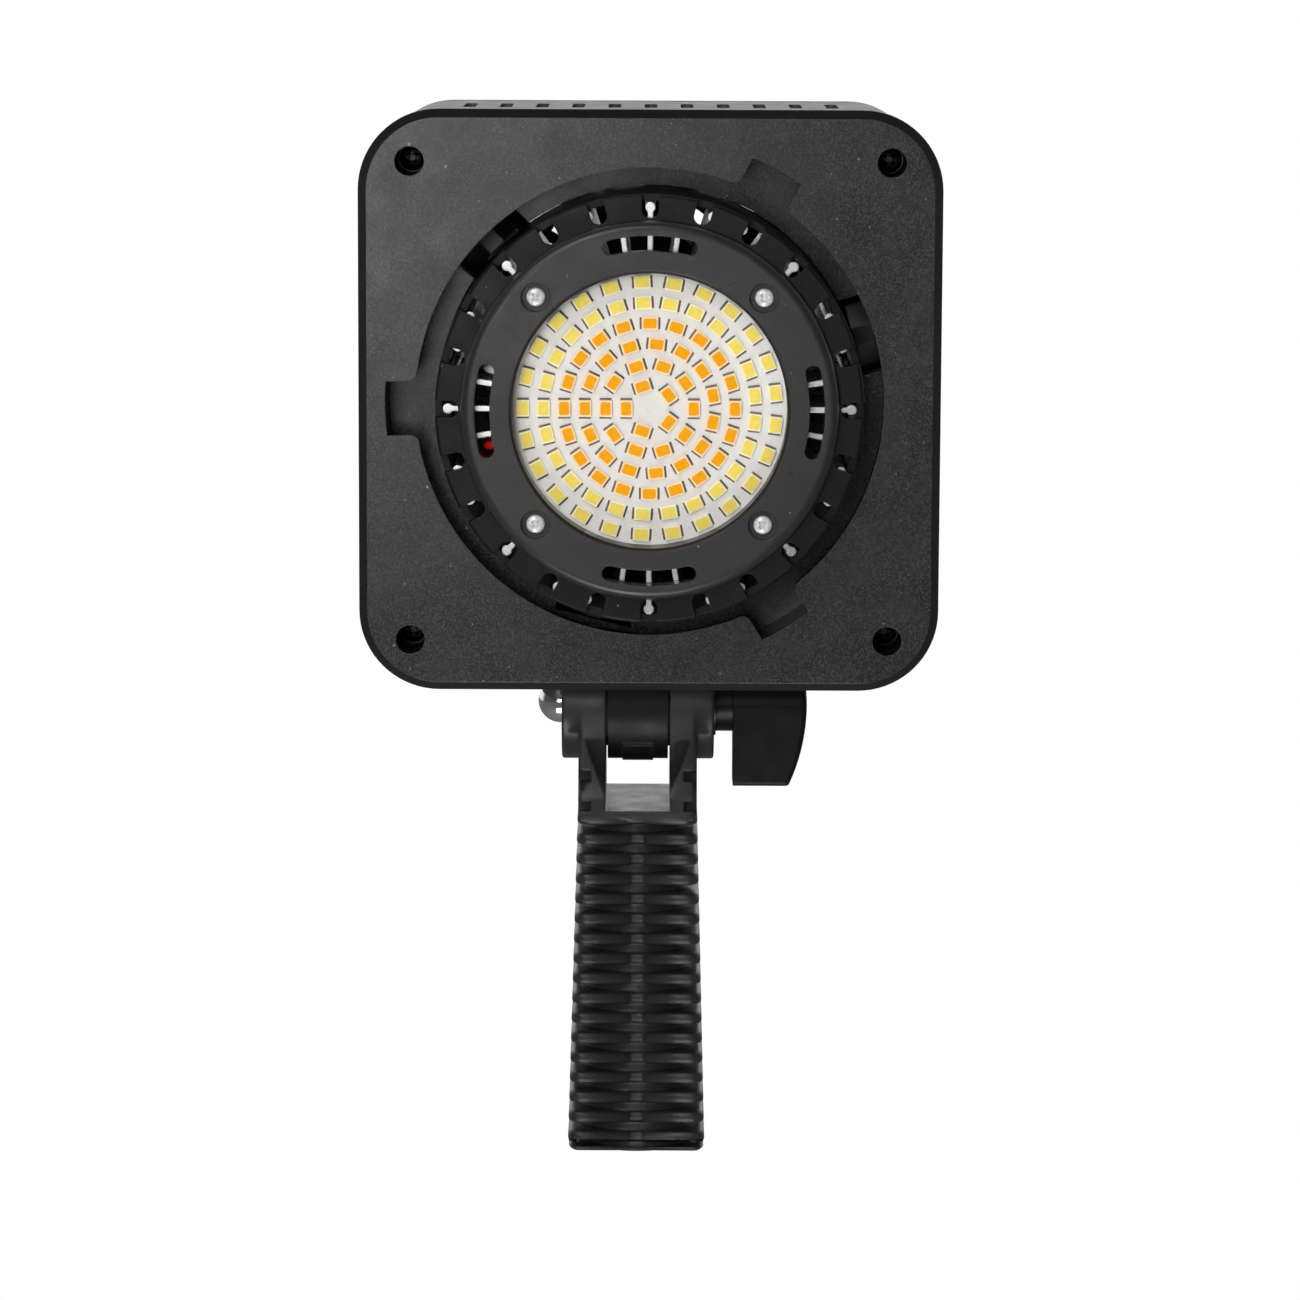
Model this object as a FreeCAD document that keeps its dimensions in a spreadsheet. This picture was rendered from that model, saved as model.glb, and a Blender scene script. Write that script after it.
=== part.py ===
import FreeCAD, Part
import math
import os

import Sketcher

# A compact video light on a tilting grip, in millimetres.
# The origin is the mouth of the grip's socket, +Z is up and the light faces -Y.
# Pieces of the head are drawn in the head's own frame: the centre of the front face, +Y going in.

SIZES = {
    # fits
    "fixed_gap": 0.02,
    "running_gap": 0.06,
    "screw_gap": 0.1,
    "free_gap": 0.3,
    "overrun": 2.0,
    # place of the hinge and the head
    "arm_rise": 21.8,
    "hinge_drop": 9.0,
    "head_offset": 2.3,
    "face_reach": 45.0,
    # grip
    "grip_height": 76.6,
    "grip_depth": 36.0,
    "grip_foot_width": 30.2,
    "grip_top_width": 26.2,
    "grip_edge": 2.6,
    "grip_foot_corner": 2.2,
    "foot_plate": 1.2,
    "rib_start": 2.3,
    "rib_pitch": 4.45,
    "rib_face": 2.5,
    "core_foot_radius": 13.8,
    "core_top_radius": 12.0,
    "core_inset": 1.1,
    "rib_split": 2.9,
    # neck and ears of the grip
    "neck_width": 26.0,
    "neck_edge": 1.0,
    "shoulder_rise": 2.9,
    "waist_drop": 6.4,
    "ear_radius": 12.8,
    "ear_gap": 14.1,
    "ear_span": 33.5,
    "ear_edge": 0.6,
    "scoop_radius": 10.9,
    "scoop_drop": 0.6,
    "side_pocket_width": 2.8,
    "side_pocket_height": 2.2,
    "side_pocket_depth": 1.6,
    "side_pocket_rise": 1.1,
    "side_pocket_pitch": 6.4,
    # socket, sleeve and clamp
    "socket_radius": 8.1,
    "socket_depth": 44.0,
    "sleeve_wall": 1.6,
    "clamp_height": 17.5,
    "clamp_boss_radius": 8.5,
    "clamp_boss_stand": 0.8,
    "insert_radius": 5.0,
    "insert_length": 5.5,
    "clamp_screw_radius": 3.0,
    "clamp_tip_bevel": 0.75,
    "clamp_knob_radius": 12.0,
    "clamp_knob_length": 13.0,
    "clamp_hub_radius": 6.5,
    "clamp_hub_length": 2.5,
    "clamp_bore_depth": 9.0,
    "clamp_flute_radius": 3.2,
    "knob_edge": 1.2,
    # tilt hardware
    "stud_radius": 3.0,
    "stud_reach": 19.5,
    "stud_seat": 9.0,
    "nut_across": 10.0,
    "nut_height": 5.5,
    "nut_dome_radius": 4.9,
    "nut_dome_height": 5.3,
    "lever_washer_radius": 7.6,
    "lever_washer": 0.45,
    "boss_radius": 6.66,
    "boss_length": 3.8,
    "lever_width": 16.2,
    "lever_drop": 18.2,
    "lever_hub_radius": 8.4,
    "lever_tip_depth": 12.0,
    "lever_crown": 3.9,
    "lever_edge": 1.0,
    "friction_washer_radius": 10.0,
    # front plate
    "plate_width": 123.0,
    "plate_corner": 17.0,
    "plate_bevel": 1.8,
    "plate_depth": 5.0,
    "face_thickness": 3.5,
    "opening_radius": 49.4,
    "notch_radius": 55.8,
    "notch_width": 11.5,
    "notch_corner": 1.8,
    "channel_relief": 0.1,
    "corner_screw_inset": 10.9,
    "corner_hole_radius": 3.08,
    "sleeve_radius": 4.65,
    "corner_screw_depth": 14.5,
    "sleeve_floor": 2.5,
    # bayonet ring
    "ring_depth": 18.5,
    "ring_thickness": 3.0,
    "ring_wall": 1.5,
    "ring_bore_radius": 45.0,
    "window_inner_radius": 44.0,
    "window_outer_radius": 50.0,
    "window_length": 17.0,
    "ring_ear_stand": 5.4,
    "ring_ear_radius": 3.6,
    "spring_thickness": 0.35,
    "spring_foot": 3.0,
    "spring_crest": 4.0,
    "drum_post_pitch": 53.0,
    "drum_post_radius": 2.3,
    "drum_post_height": 1.2,
    # lamp drum and bezel
    "drum_radius": 44.7,
    "drum_wall": 1.5,
    "drum_reach": 15.5,
    "drum_edge": 0.7,
    "drum_hole_radius": 31.7,
    "drum_lug_radius": 55.4,
    "drum_lug_width": 9.0,
    "drum_lug": 2.0,
    "slot_width": 3.5,
    "slot_inner_radius": 39.8,
    "slot_depth": 3.6,
    "bezel_inner_radius": 28.6,
    "bezel_outer_radius": 39.4,
    "bezel_rise": 3.7,
    "bezel_edge": 2.0,
    "bezel_bevel": 0.6,
    "lip_radius": 31.5,
    "kidney_radius": 34.8,
    "kidney_width": 3.2,
    "bezel_screw_pitch": 33.4,
    "bezel_recess_radius": 3.05,
    "bezel_recess_depth": 1.7,
    # light engine
    "board_radius": 31.2,
    "board_thickness": 1.6,
    "board_face": 12.1,
    "led_length": 3.5,
    "led_width": 2.8,
    "led_height": 0.8,
    "led_edge": 0.15,
    "first_ring_radius": 4.88,
    "ring_pitch": 4.31,
    "pad_thickness": 0.3,
    "pad_radius": 30.0,
    # heat sink
    "sink_rear_gap": 42.0,
    "sink_front_gap": 0.3,
    "sink_base": 6.0,
    "sink_core_radius": 12.0,
    "fin_thickness": 1.15,
    "fin_reach": 42.0,
    "fin_bulb_radius": 1.08,
    "sink_boss_radius": 2.5,
    "sink_boss_shift": 0.9,
    "sink_hole_depth": 9.0,
    # housing
    "housing_inset": 1.2,
    "housing_wall": 2.4,
    "housing_depth": 80.0,
    "vent_width": 2.8,
    "vent_length": 22.0,
    "vent_start": 43.0,
    "vent_pitch": 7.93,
    "post_radius": 5.6,
    "post_length": 21.0,
    "foot_cutout_width": 36.0,
    "foot_cutout_depth": 31.0,
    "foot_seat_border": 5.5,
    "foot_seat_height": 1.2,
    "standoff_radius": 3.2,
    "standoff_height": 7.9,
    # tilt foot
    "knuckle_width": 13.3,
    "foot_plate_thickness": 3.0,
    "foot_web_depth": 22.0,
    "tongue_width": 6.8,
    "tongue_length": 7.2,
    "tongue_stand": 0.9,
    # rear cover
    "cover_depth": 8.0,
    "cover_wall": 2.4,
    "cover_edge": 2.2,
    "grille_height": 20.0,
    "grille_inner_radius": 14.6,
    "grille_band": 4.4,
    "grille_bar": 1.5,
    "grille_spoke": 2.2,
    "dial_row_height": 28.0,
    "socket_row_height": 49.0,
    "dial_inset": 23.5,
    "button_pitch": 14.0,
    "socket_spread": 34.0,
    # fan
    "fan_width": 70.0,
    "fan_corner": 5.0,
    "fan_depth": 15.0,
    "fan_bore_radius": 33.5,
    "fan_screw_pitch": 60.0,
    "fan_hub_radius": 13.0,
    "fan_hub_depth": 10.3,
    "fan_hub_wall": 1.8,
    "fan_plate": 2.2,
    "fan_strut": 4.0,
    "fan_shaft_radius": 1.5,
    "fan_bearing_radius": 3.5,
    "fan_bearing_length": 7.1,
    "fan_tip_gap": 1.2,
    "blade_chord": 10.0,
    "blade_thickness": 1.2,
    # boards and controls
    "driver_width": 84.0,
    "driver_front": 27.0,
    "driver_rear_gap": 10.0,
    "driver_thickness": 1.6,
    "driver_screw_inset": 5.0,
    "control_end": 12.0,
    "control_height": 24.0,
    "control_thickness": 1.6,
    "control_gap": 5.4,
    "control_post_radius": 2.4,
    "control_post_inset_x": 2.8,
    "control_post_inset_z": 4.0,
    "display_width": 38.0,
    "display_height": 20.0,
    "display_border": 2.0,
    "window_width": 36.0,
    "window_height": 18.0,
    "window_thickness": 1.0,
    "window_seat": 1.0,
    "encoder_width": 12.0,
    "encoder_depth": 5.0,
    "bushing_radius": 3.5,
    "bushing_reach": 2.0,
    "dial_radius": 9.5,
    "dial_height": 11.0,
    "dial_gap": 0.6,
    "dial_shaft_radius": 3.0,
    "dial_bore_depth": 8.0,
    "dial_flute_radius": 0.7,
    "switch_width": 6.0,
    "switch_depth": 3.4,
    "button_radius": 3.2,
    "button_flange": 1.0,
    "button_flange_depth": 1.0,
    "button_stand": 1.0,
    "button_gap": 0.5,
    # power rocker and inlet
    "rocker_flange_width": 15.0,
    "rocker_flange_height": 10.6,
    "rocker_flange": 1.0,
    "rocker_frame_width": 13.2,
    "rocker_frame_height": 8.8,
    "rocker_frame_depth": 12.0,
    "rocker_mouth_width": 11.2,
    "rocker_mouth_height": 6.8,
    "rocker_width": 10.2,
    "rocker_height": 6.3,
    "rocker_pivot_depth": 2.6,
    "rocker_below": 2.0,
    "rocker_above": 4.2,
    "rocker_dish": 0.7,
    "rocker_pin_radius": 0.8,
    "rocker_pin_length": 0.6,
    "jack_radius": 5.35,
    "jack_flange_radius": 6.6,
    "jack_flange": 1.4,
    "jack_length": 13.5,
    "jack_bore_radius": 2.9,
    "jack_bore_depth": 9.5,
    "jack_pin_radius": 1.0,
    "jack_pin_recess": 1.6,
    "jack_nut_across": 14.0,
    "jack_nut": 2.4,
    # parts on the driver board
    "part_inset": 12.0,
    "terminal_inset": 16.0,
    "capacitor_radius": 6.3,
    "capacitor_height": 20.0,
    "capacitor_place": -12.0,
    "capacitor_pitch": 15.0,
    "inductor_place": 24.0,
    "inductor_radius": 7.4,
    "inductor_winding": 3.2,
    "inductor_base_radius": 9.0,
    "inductor_base": 1.2,
    "terminal_width": 8.0,
    "terminal_length": 11.0,
    "terminal_height": 9.0,
    "terminal_pitch": 6.0,
    "terminal_hole_radius": 1.2,
    "terminal_hole_depth": 3.0,
    # wires
    "lead_radius": 0.9,
    "lead_track_radius": 34.8,
    "lead_start_gap": 1.0,
    "fan_lead_place": 24.0,
    "fan_lead_height": 8.0,
    "fan_lead_reach": 10.0,
    "control_lead_place": 9.0,
    "control_lead_height": 36.0,
    "control_lead_reach": 12.6,
    "power_lead_pitch": 4.0,
    # screws: head radius, head height, shank radius and shank length of each kind
    "corner_head_radius": 2.8,
    "corner_head": 2.0,
    "corner_shank_radius": 1.5,
    "corner_shank": 17.0,
    "small_head_radius": 1.9,
    "small_head": 1.3,
    "small_shank_radius": 1.2,
    "small_shank": 8.0,
    "ring_head_radius": 2.2,
    "ring_head": 1.5,
    "ring_shank": 6.0,
    "foot_head_radius": 2.7,
    "foot_head": 1.9,
    "foot_shank": 6.0,
    "fan_head_radius": 3.1,
    "fan_head": 1.8,
    "fan_shank_radius": 1.8,
    "fan_shank": 11.0,
}

RIB_COUNT = 17
VENT_COUNT = 11
SLOT_COUNT = 24
FIN_COUNT = 40
BLADE_COUNT = 7
SPOKE_COUNT = 8
GRILLE_RINGS = 3
DIAL_FLUTES = 24
KNOB_FLUTES = 6
WARM_RINGS = (5, 10, 15, 20)
COOL_RINGS = (25, 25)
FIRST_LED_DEGREES = 180.0
NOTCH_DEGREES = (61.5, 181.5, 301.5)
WINDOW_DEGREES = (16.0, 136.0, 256.0)
DIAGONAL_DEGREES = (45.0, 135.0, 225.0, 315.0)
KIDNEY_HALF_DEGREES = 13.6
RED_LEAD_DEGREES = 193.5
WHITE_LEAD_DEGREES = 166.5
STRUT_DEGREES = (90.0, 210.0, 330.0)
BLADE_DEGREES = 38.0
ROCKER_DEGREES = 7.0
BEND_SHARE = 0.45
TONGUE_SHARE = 0.72
CROSS_WIDTH_SHARE = 0.34
CROSS_LENGTH_SHARE = 1.2
CROSS_DEPTH_SHARE = 0.6
HEAD_EDGE_SHARE = 0.3

document = FreeCAD.newDocument("video_light")
pieces = []


class Size:
    """A length and the formula that gives it from the cells of the sheet."""

    def __init__(self, value, formula):
        self.value = float(value)
        self.formula = formula

    def __add__(self, other):
        other = as_size(other)
        return Size(self.value + other.value, f"({self.formula} + {other.formula})")

    def __sub__(self, other):
        other = as_size(other)
        return Size(self.value - other.value, f"({self.formula} - {other.formula})")

    def __mul__(self, factor):
        return Size(self.value * factor, f"({self.formula} * {factor:.10f})")

    def __truediv__(self, divisor):
        return Size(self.value / divisor, f"({self.formula} / {divisor})")

    def __neg__(self):
        return Size(-self.value, f"(0 - {self.formula})")

    def __float__(self):
        return self.value

    __radd__ = __add__
    __rmul__ = __mul__


def as_size(number):
    """Any plain number as a Size."""
    if isinstance(number, Size):
        return number
    return Size(number, f"{number}")


class Sheet:
    """The driving sizes: a spreadsheet cell for each, and an attribute of the same name."""

    def __init__(self, sizes):
        table = document.addObject("Spreadsheet::Sheet", "Sizes")
        for row, (name, value) in enumerate(sizes.items(), start=1):
            table.set(f"A{row}", name)
            table.set(f"B{row}", f"{value}")
            table.setAlias(f"B{row}", name)
            setattr(self, name, Size(value, f"Sizes.{name}"))


d = Sheet(SIZES)
document.recompute()


# Helpers for primitives, booleans and sketches

def bind(item, **sizes):
    """Bind properties of an item to the formulas of sizes."""
    for name, size in sizes.items():
        item.setExpression(name, as_size(size).formula)
    return item


def place(item, x=0, y=0, z=0):
    """Bind the place of an item to sizes and keep its rotation."""
    for name, size in zip("xyz", (x, y, z)):
        item.setExpression(f"Placement.Base.{name}", as_size(size).formula)
    return item


def block(x_span, y_span, z_span):
    """A box between three pairs of coordinates."""
    item = document.addObject("Part::Box", "block")
    bind(item, Length=x_span[1] - x_span[0])
    bind(item, Width=y_span[1] - y_span[0])
    bind(item, Height=z_span[1] - z_span[0])
    return place(item, x_span[0], y_span[0], z_span[0])


def centred(width, middle=0):
    """The span of a width about its middle."""
    return (as_size(middle) - width / 2, as_size(middle) + width / 2)


def aim(item, axis, span, first, second):
    """Turn an item from +Z to an axis and set it where its span starts."""
    if axis == "x":
        item.Placement.Rotation = FreeCAD.Rotation(FreeCAD.Vector(0, 1, 0), 90)
        return place(item, span[0], first, second)
    if axis == "y":
        item.Placement.Rotation = FreeCAD.Rotation(FreeCAD.Vector(1, 0, 0), -90)
        return place(item, first, span[0], second)
    return place(item, first, second, span[0])


def rod(axis, radius, span, first=0, second=0):
    """A cylinder along an axis, at the two other coordinates in their order."""
    item = document.addObject("Part::Cylinder", "rod")
    bind(item, Radius=radius, Height=as_size(span[1]) - span[0])
    return aim(item, axis, span, first, second)


def cone(axis, start_radius, end_radius, span, first=0, second=0):
    """A cone frustum along an axis."""
    item = document.addObject("Part::Cone", "cone")
    bind(item, Radius1=start_radius, Radius2=end_radius, Height=as_size(span[1]) - span[0])
    return aim(item, axis, span, first, second)


def hexagon(axis, across, span, first=0, second=0):
    """A hexagonal prism along an axis, by its width across flats."""
    item = document.addObject("Part::Prism", "hexagon")
    item.Polygon = 6
    bind(item, Circumradius=across / (2 * math.cos(math.pi / 6)), Height=as_size(span[1]) - span[0])
    return aim(item, axis, span, first, second)


def spoke(degrees, near, far, width, y_span, rise=0):
    """A box that runs out from an axis along Y at an angle, from one radius to another."""
    item = document.addObject("Part::Box", "spoke")
    bind(item, Length=as_size(far) - near, Width=y_span[1] - y_span[0], Height=width)
    item.Placement.Rotation = FreeCAD.Rotation(FreeCAD.Vector(0, 1, 0), -degrees)
    x, z = polar(near, degrees)
    side_x, side_z = polar(width / 2, degrees)
    return place(item, x + side_z, y_span[0], z - side_x + rise)


def polar(radius, degrees):
    """The two coordinates of a point at a radius and an angle."""
    angle = math.radians(degrees)
    return (as_size(radius) * math.cos(angle), as_size(radius) * math.sin(angle))


def fuse(*items):
    """The union of items."""
    result = document.addObject("Part::MultiFuse", "fuse")
    result.Shapes = list(items)
    return result


def cut(base, *tools):
    """A base less its tools."""
    result = document.addObject("Part::Cut", "cut")
    result.Base = base
    result.Tool = tools[0] if len(tools) == 1 else fuse(*tools)
    return result


def common(*items):
    """What items share."""
    result = document.addObject("Part::MultiCommon", "common")
    result.Shapes = list(items)
    return result


def group(items):
    """Separate solids that form one node."""
    result = document.addObject("Part::Compound", "group")
    result.Links = list(items)
    return result


def rounded(base, radius, choose):
    """Fillet the edges of a base that the choice takes."""
    document.recompute()
    result = document.addObject("Part::Fillet", "rounded")
    result.Base = base
    edges = enumerate(base.Shape.Edges, start=1)
    result.Edges = [(index, radius.value, radius.value) for index, edge in edges if choose(edge)]
    return result


def bevelled(base, size, choose):
    """Chamfer the edges of a base that the choice takes."""
    document.recompute()
    result = document.addObject("Part::Chamfer", "bevelled")
    result.Base = base
    edges = enumerate(base.Shape.Edges, start=1)
    result.Edges = [(index, size.value, size.value) for index, edge in edges if choose(edge)]
    return result


def lies_at(edge, axis, size):
    """Whether all of an edge lies at one coordinate."""
    box = edge.BoundBox
    low, high = {"x": (box.XMin, box.XMax), "y": (box.YMin, box.YMax), "z": (box.ZMin, box.ZMax)}[axis]
    near = d.fixed_gap.value / 2
    return abs(low - float(size)) < near and abs(high - float(size)) < near


def runs_along(edge, axis):
    """Whether an edge is a straight line along an axis."""
    box = edge.BoundBox
    lengths = {"x": box.XLength, "y": box.YLength, "z": box.ZLength}
    along = lengths.pop(axis)
    return along > d.fixed_gap.value and max(lengths.values()) < d.fixed_gap.value / 2


def new_body(name):
    """An empty body."""
    return document.addObject("PartDesign::Body", name)


def new_sketch(body, role, height=0):
    """A sketch on one of the origin planes of a body, at a height along the plane's normal."""
    sketch = body.newObject("Sketcher::SketchObject", "sketch")
    plane = next(item for item in body.Origin.OriginFeatures if item.Role == role)
    sketch.AttachmentSupport = (plane, [""])
    sketch.MapMode = "FlatFace"
    sketch.setExpression("AttachmentOffset.Base.z", as_size(height).formula)
    return sketch


def pin_point(sketch, geometry, end, x, y):
    """Hold a sketch point at two coordinates."""
    for kind, size in (("DistanceX", as_size(x)), ("DistanceY", as_size(y))):
        if size.formula == "0":
            axis = -2 if kind == "DistanceX" else -1
            sketch.addConstraint(Sketcher.Constraint("PointOnObject", geometry, end, axis))
            continue
        number = sketch.addConstraint(Sketcher.Constraint(kind, -1, 1, geometry, end, size.value))
        sketch.setExpression(f"Constraints[{number}]", size.formula)


def circle(sketch, radius, x=0, y=0):
    """A circle held by its centre and radius."""
    centre = FreeCAD.Vector(float(x), float(y), 0)
    index = sketch.addGeometry(Part.Circle(centre, FreeCAD.Vector(0, 0, 1), float(radius)))
    pin_point(sketch, index, 3, x, y)
    number = sketch.addConstraint(Sketcher.Constraint("Radius", index, float(radius)))
    sketch.setExpression(f"Constraints[{number}]", as_size(radius).formula)


def arc_through(start, end, radius):
    """A counterclockwise arc between two points, bulging right for a positive radius."""
    chord = end - start
    rise = abs(radius) - math.sqrt(radius * radius - chord.Length * chord.Length / 4)
    right = FreeCAD.Vector(chord.y, -chord.x, 0).normalize()
    middle = (start + end) / 2 + right * math.copysign(rise, radius)
    return Part.Arc(start, middle, end) if radius > 0 else Part.Arc(end, middle, start)


def outline(sketch, corners):
    """A closed counterclockwise outline. A third value makes the next edge an arc of that radius."""
    first = len(sketch.Geometry)
    count = len(corners)
    points = [FreeCAD.Vector(float(corner[0]), float(corner[1]), 0) for corner in corners]
    radii = [corner[2] if len(corner) > 2 else None for corner in corners]
    for index in range(count):
        start, end = points[index], points[(index + 1) % count]
        if radii[index] is None:
            sketch.addGeometry(Part.LineSegment(start, end))
        else:
            sketch.addGeometry(arc_through(start, end, float(radii[index])))
    turned = [radius is not None and float(radius) < 0 for radius in radii]
    for index in range(count):
        before = (index - 1) % count
        start_end = 2 if turned[index] else 1
        before_end = 1 if turned[before] else 2
        join = Sketcher.Constraint("Coincident", first + before, before_end, first + index, start_end)
        sketch.addConstraint(join)
        pin_point(sketch, first + index, start_end, corners[index][0], corners[index][1])
        if radii[index] is not None:
            size = abs(float(radii[index]))
            number = sketch.addConstraint(Sketcher.Constraint("Radius", first + index, size))
            formula = radii[index].formula if float(radii[index]) > 0 else (-radii[index]).formula
            sketch.setExpression(f"Constraints[{number}]", formula)


def rounded_square(sketch, width, height, corner, x=0, y=0):
    """A rectangle with round corners about a centre."""
    right, left = as_size(x) + width / 2, as_size(x) - width / 2
    top, bottom = as_size(y) + height / 2, as_size(y) - height / 2
    outline(sketch, [
        (left + corner, bottom), (right - corner, bottom, corner),
        (right, bottom + corner), (right, top - corner, corner),
        (right - corner, top), (left + corner, top, corner),
        (left, top - corner), (left, bottom + corner, corner),
    ])


def rectangle(sketch, x_span, y_span):
    """A rectangle between two pairs of coordinates."""
    outline(sketch, [(x_span[0], y_span[0]), (x_span[1], y_span[0]),
                     (x_span[1], y_span[1]), (x_span[0], y_span[1])])


def annular_sector(sketch, near, far, half_degrees, middle_degrees=90.0):
    """A flat-ended sector of a ring."""
    low, high = middle_degrees - half_degrees, middle_degrees + half_degrees
    outline(sketch, [
        polar(near, low), (*polar(far, low), as_size(far)),
        polar(far, high), (*polar(near, high), -as_size(near)),
    ])


def radial_tab(sketch, near, far, width, degrees):
    """A straight-sided tab that runs out from the middle at an angle, with its end on a circle."""
    half_degrees = math.degrees(math.asin(float(width) / 2 / float(far)))
    root_x, root_y = polar(near, degrees)
    side_x, side_y = polar(width / 2, degrees + 90.0)
    outline(sketch, [
        (root_x - side_x, root_y - side_y), (*polar(far, degrees - half_degrees), as_size(far)),
        polar(far, degrees + half_degrees), (root_x + side_x, root_y + side_y),
    ])


def kidney(sketch, radius, width, half_degrees, middle_degrees=0.0):
    """A curved slot with round ends, along a circle."""
    low, high = middle_degrees - half_degrees, middle_degrees + half_degrees
    half = width / 2
    tip_x, tip_y = polar(radius, low)
    end_x, end_y = polar(radius, high)
    along_low, along_high = polar(half, low - 90.0), polar(half, high + 90.0)
    outline(sketch, [
        (*polar(radius - half, low), half), (tip_x + along_low[0], tip_y + along_low[1], half),
        (*polar(radius + half, low), radius + half), (*polar(radius + half, high), half),
        (end_x + along_high[0], end_y + along_high[1], half),
        (*polar(radius - half, high), -(radius - half)),
    ])


def feature(body, kind, name, profile, **sizes):
    """Add a sketch-based feature to a body and make it the tip."""
    item = body.newObject(f"PartDesign::{kind}", name)
    item.Profile = profile
    body.Tip = item
    profile.Visibility = False
    return bind(item, **sizes)


def pad(body, sketch, length, inward=True):
    """A pad that goes in (+Y on a front sketch) or out."""
    item = feature(body, "Pad", "pad", sketch, Length=length)
    item.Reversed = inward
    return item


def pocket(body, sketch, length, inward=True):
    """A pocket that goes in (+Y on a front sketch) or out."""
    item = feature(body, "Pocket", "pocket", sketch, Length=length)
    item.Reversed = not inward
    return item


def revolved(name, corners, axis="V_Axis"):
    """A body turned about the Y axis from an outline of radii and depths."""
    body = new_body(name)
    sketch = new_sketch(body, "XY_Plane")
    outline(sketch, corners)
    item = feature(body, "Revolution", "revolution", sketch)
    item.ReferenceAxis = (sketch, [axis])
    item.Angle = 360
    return body


def polar_pattern(body, original, sketch, count):
    """Repeat a feature about the axis that leaves a sketch's origin."""
    pattern = body.newObject("PartDesign::PolarPattern", "pattern")
    pattern.Originals = [original]
    pattern.Axis = (sketch, ["N_Axis"])
    pattern.Angle = 360
    pattern.Occurrences = count
    body.Tip = pattern
    return pattern


def linear_pattern(body, original, sketch, axis, length, count):
    """Repeat a feature along an axis of a sketch."""
    pattern = body.newObject("PartDesign::LinearPattern", "pattern")
    pattern.Originals = [original]
    pattern.Direction = (sketch, [axis])
    pattern.Occurrences = count
    bind(pattern, Length=length)
    body.Tip = pattern
    return pattern


def finish_edges(body, kind, size, choose):
    """Fillet or chamfer the edges of a body that the choice takes."""
    document.recompute()
    before = body.Tip
    edges = enumerate(before.Shape.Edges, start=1)
    names = [f"Edge{index}" for index, edge in edges if choose(edge)]
    item = body.newObject(f"PartDesign::{kind}", kind.lower())
    item.Base = (before, names)
    bind(item, **{"Radius" if kind == "Fillet" else "Size": size})
    body.Tip = item
    return item


def shaped(shape):
    """A feature that holds a shape made here from the sheet's sizes."""
    item = document.addObject("Part::Feature", "shaped")
    item.Shape = shape
    return item


def finish(node, item, in_head=False):
    """Name a node's object and seat it on the grip's frame or the head's."""
    if in_head and item.isDerivedFrom("Part::Primitive"):
        item = group([item])
    item.Label = node
    if in_head:
        place(item, HEAD_X, HEAD_Y, HEAD_Z)
    pieces.append(item)
    return item


# Derived places. Those that start with hinge are in the head's frame.

HEAD_X = d.head_offset
HEAD_Y = -d.face_reach
hinge_height = d.grip_height + d.arm_rise
head_rise = d.plate_width / 2 + d.hinge_drop
HEAD_Z = hinge_height + head_rise
hinge_x = -d.head_offset
hinge_y = d.face_reach
hinge_z = -head_rise
housing_half = d.plate_width / 2 - d.housing_inset
inner_half = housing_half - d.housing_wall
housing_corner = d.plate_corner - d.housing_inset
corner = d.plate_width / 2 - d.corner_screw_inset
corner_spots = [(-corner, -corner), (corner, -corner), (corner, corner), (-corner, corner)]
head_screw_seat = d.corner_screw_depth + d.corner_head
sleeve_end = head_screw_seat + d.sleeve_floor
channel_radius = d.notch_radius + d.channel_relief
ring_outer = channel_radius + d.ring_wall
ring_ear_pitch = channel_radius + d.ring_ear_stand
ring_back = d.ring_depth + d.ring_thickness
lug_front = ring_back + d.drum_post_height
lug_back = lug_front + d.drum_lug
drum_front = -d.drum_reach
drum_inner_face = drum_front + d.drum_wall
bezel_front = drum_front - d.bezel_rise
board_front = -d.board_face
board_back = board_front + d.board_thickness
sink_seat = board_back + d.pad_thickness
sink_front = drum_inner_face + d.sink_front_gap
cover_front = d.housing_depth
sink_back = cover_front - d.sink_rear_gap
cover_back = cover_front + d.cover_depth
cover_inner = cover_back - d.cover_wall
fan_back = cover_inner
fan_front = fan_back - d.fan_depth
control_back = cover_inner - d.control_gap
control_front = control_back - d.control_thickness
dial_z = -d.dial_row_height
dial_x = d.plate_width / 2 - d.dial_inset
button_x = dial_x - d.button_pitch
control_width = (dial_x + d.control_end) * 2
socket_z = -d.socket_row_height
shoulder_height = d.grip_height + d.shoulder_rise
waist_height = hinge_height - d.waist_drop
ear_inner = d.ear_gap / 2
ear_outer = d.ear_span / 2
knuckle_half = d.knuckle_width / 2
boss_start = ear_outer + d.lever_washer
lever_start = boss_start + d.boss_length
lever_end = lever_start + d.lever_width
sleeve_outer = d.socket_radius + d.sleeve_wall
grip_back = d.grip_depth / 2
clamp_seat = grip_back + d.clamp_boss_stand
clamp_hub_start = clamp_seat + d.free_gap
clamp_knob_start = clamp_hub_start + d.clamp_hub_length
clamp_knob_end = clamp_knob_start + d.clamp_knob_length
insert_start = clamp_seat - d.insert_length
foot_seat_z = -inner_half + d.foot_seat_height
foot_top_z = foot_seat_z + d.foot_plate_thickness
driver_z = -inner_half + d.standoff_height
driver_top = driver_z + d.driver_thickness
driver_back = cover_front - d.driver_rear_gap
part_row = driver_back - d.part_inset
lead_track_end = driver_back - d.terminal_inset
lead_x, lead_z = polar(d.lead_track_radius, RED_LEAD_DEGREES)
white_lead_end = lead_track_end + d.terminal_pitch
rocker_y = cover_back + d.rocker_flange - d.rocker_pivot_depth
rocker_floor = rocker_y - d.rocker_below - d.free_gap


# The grip

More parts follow.
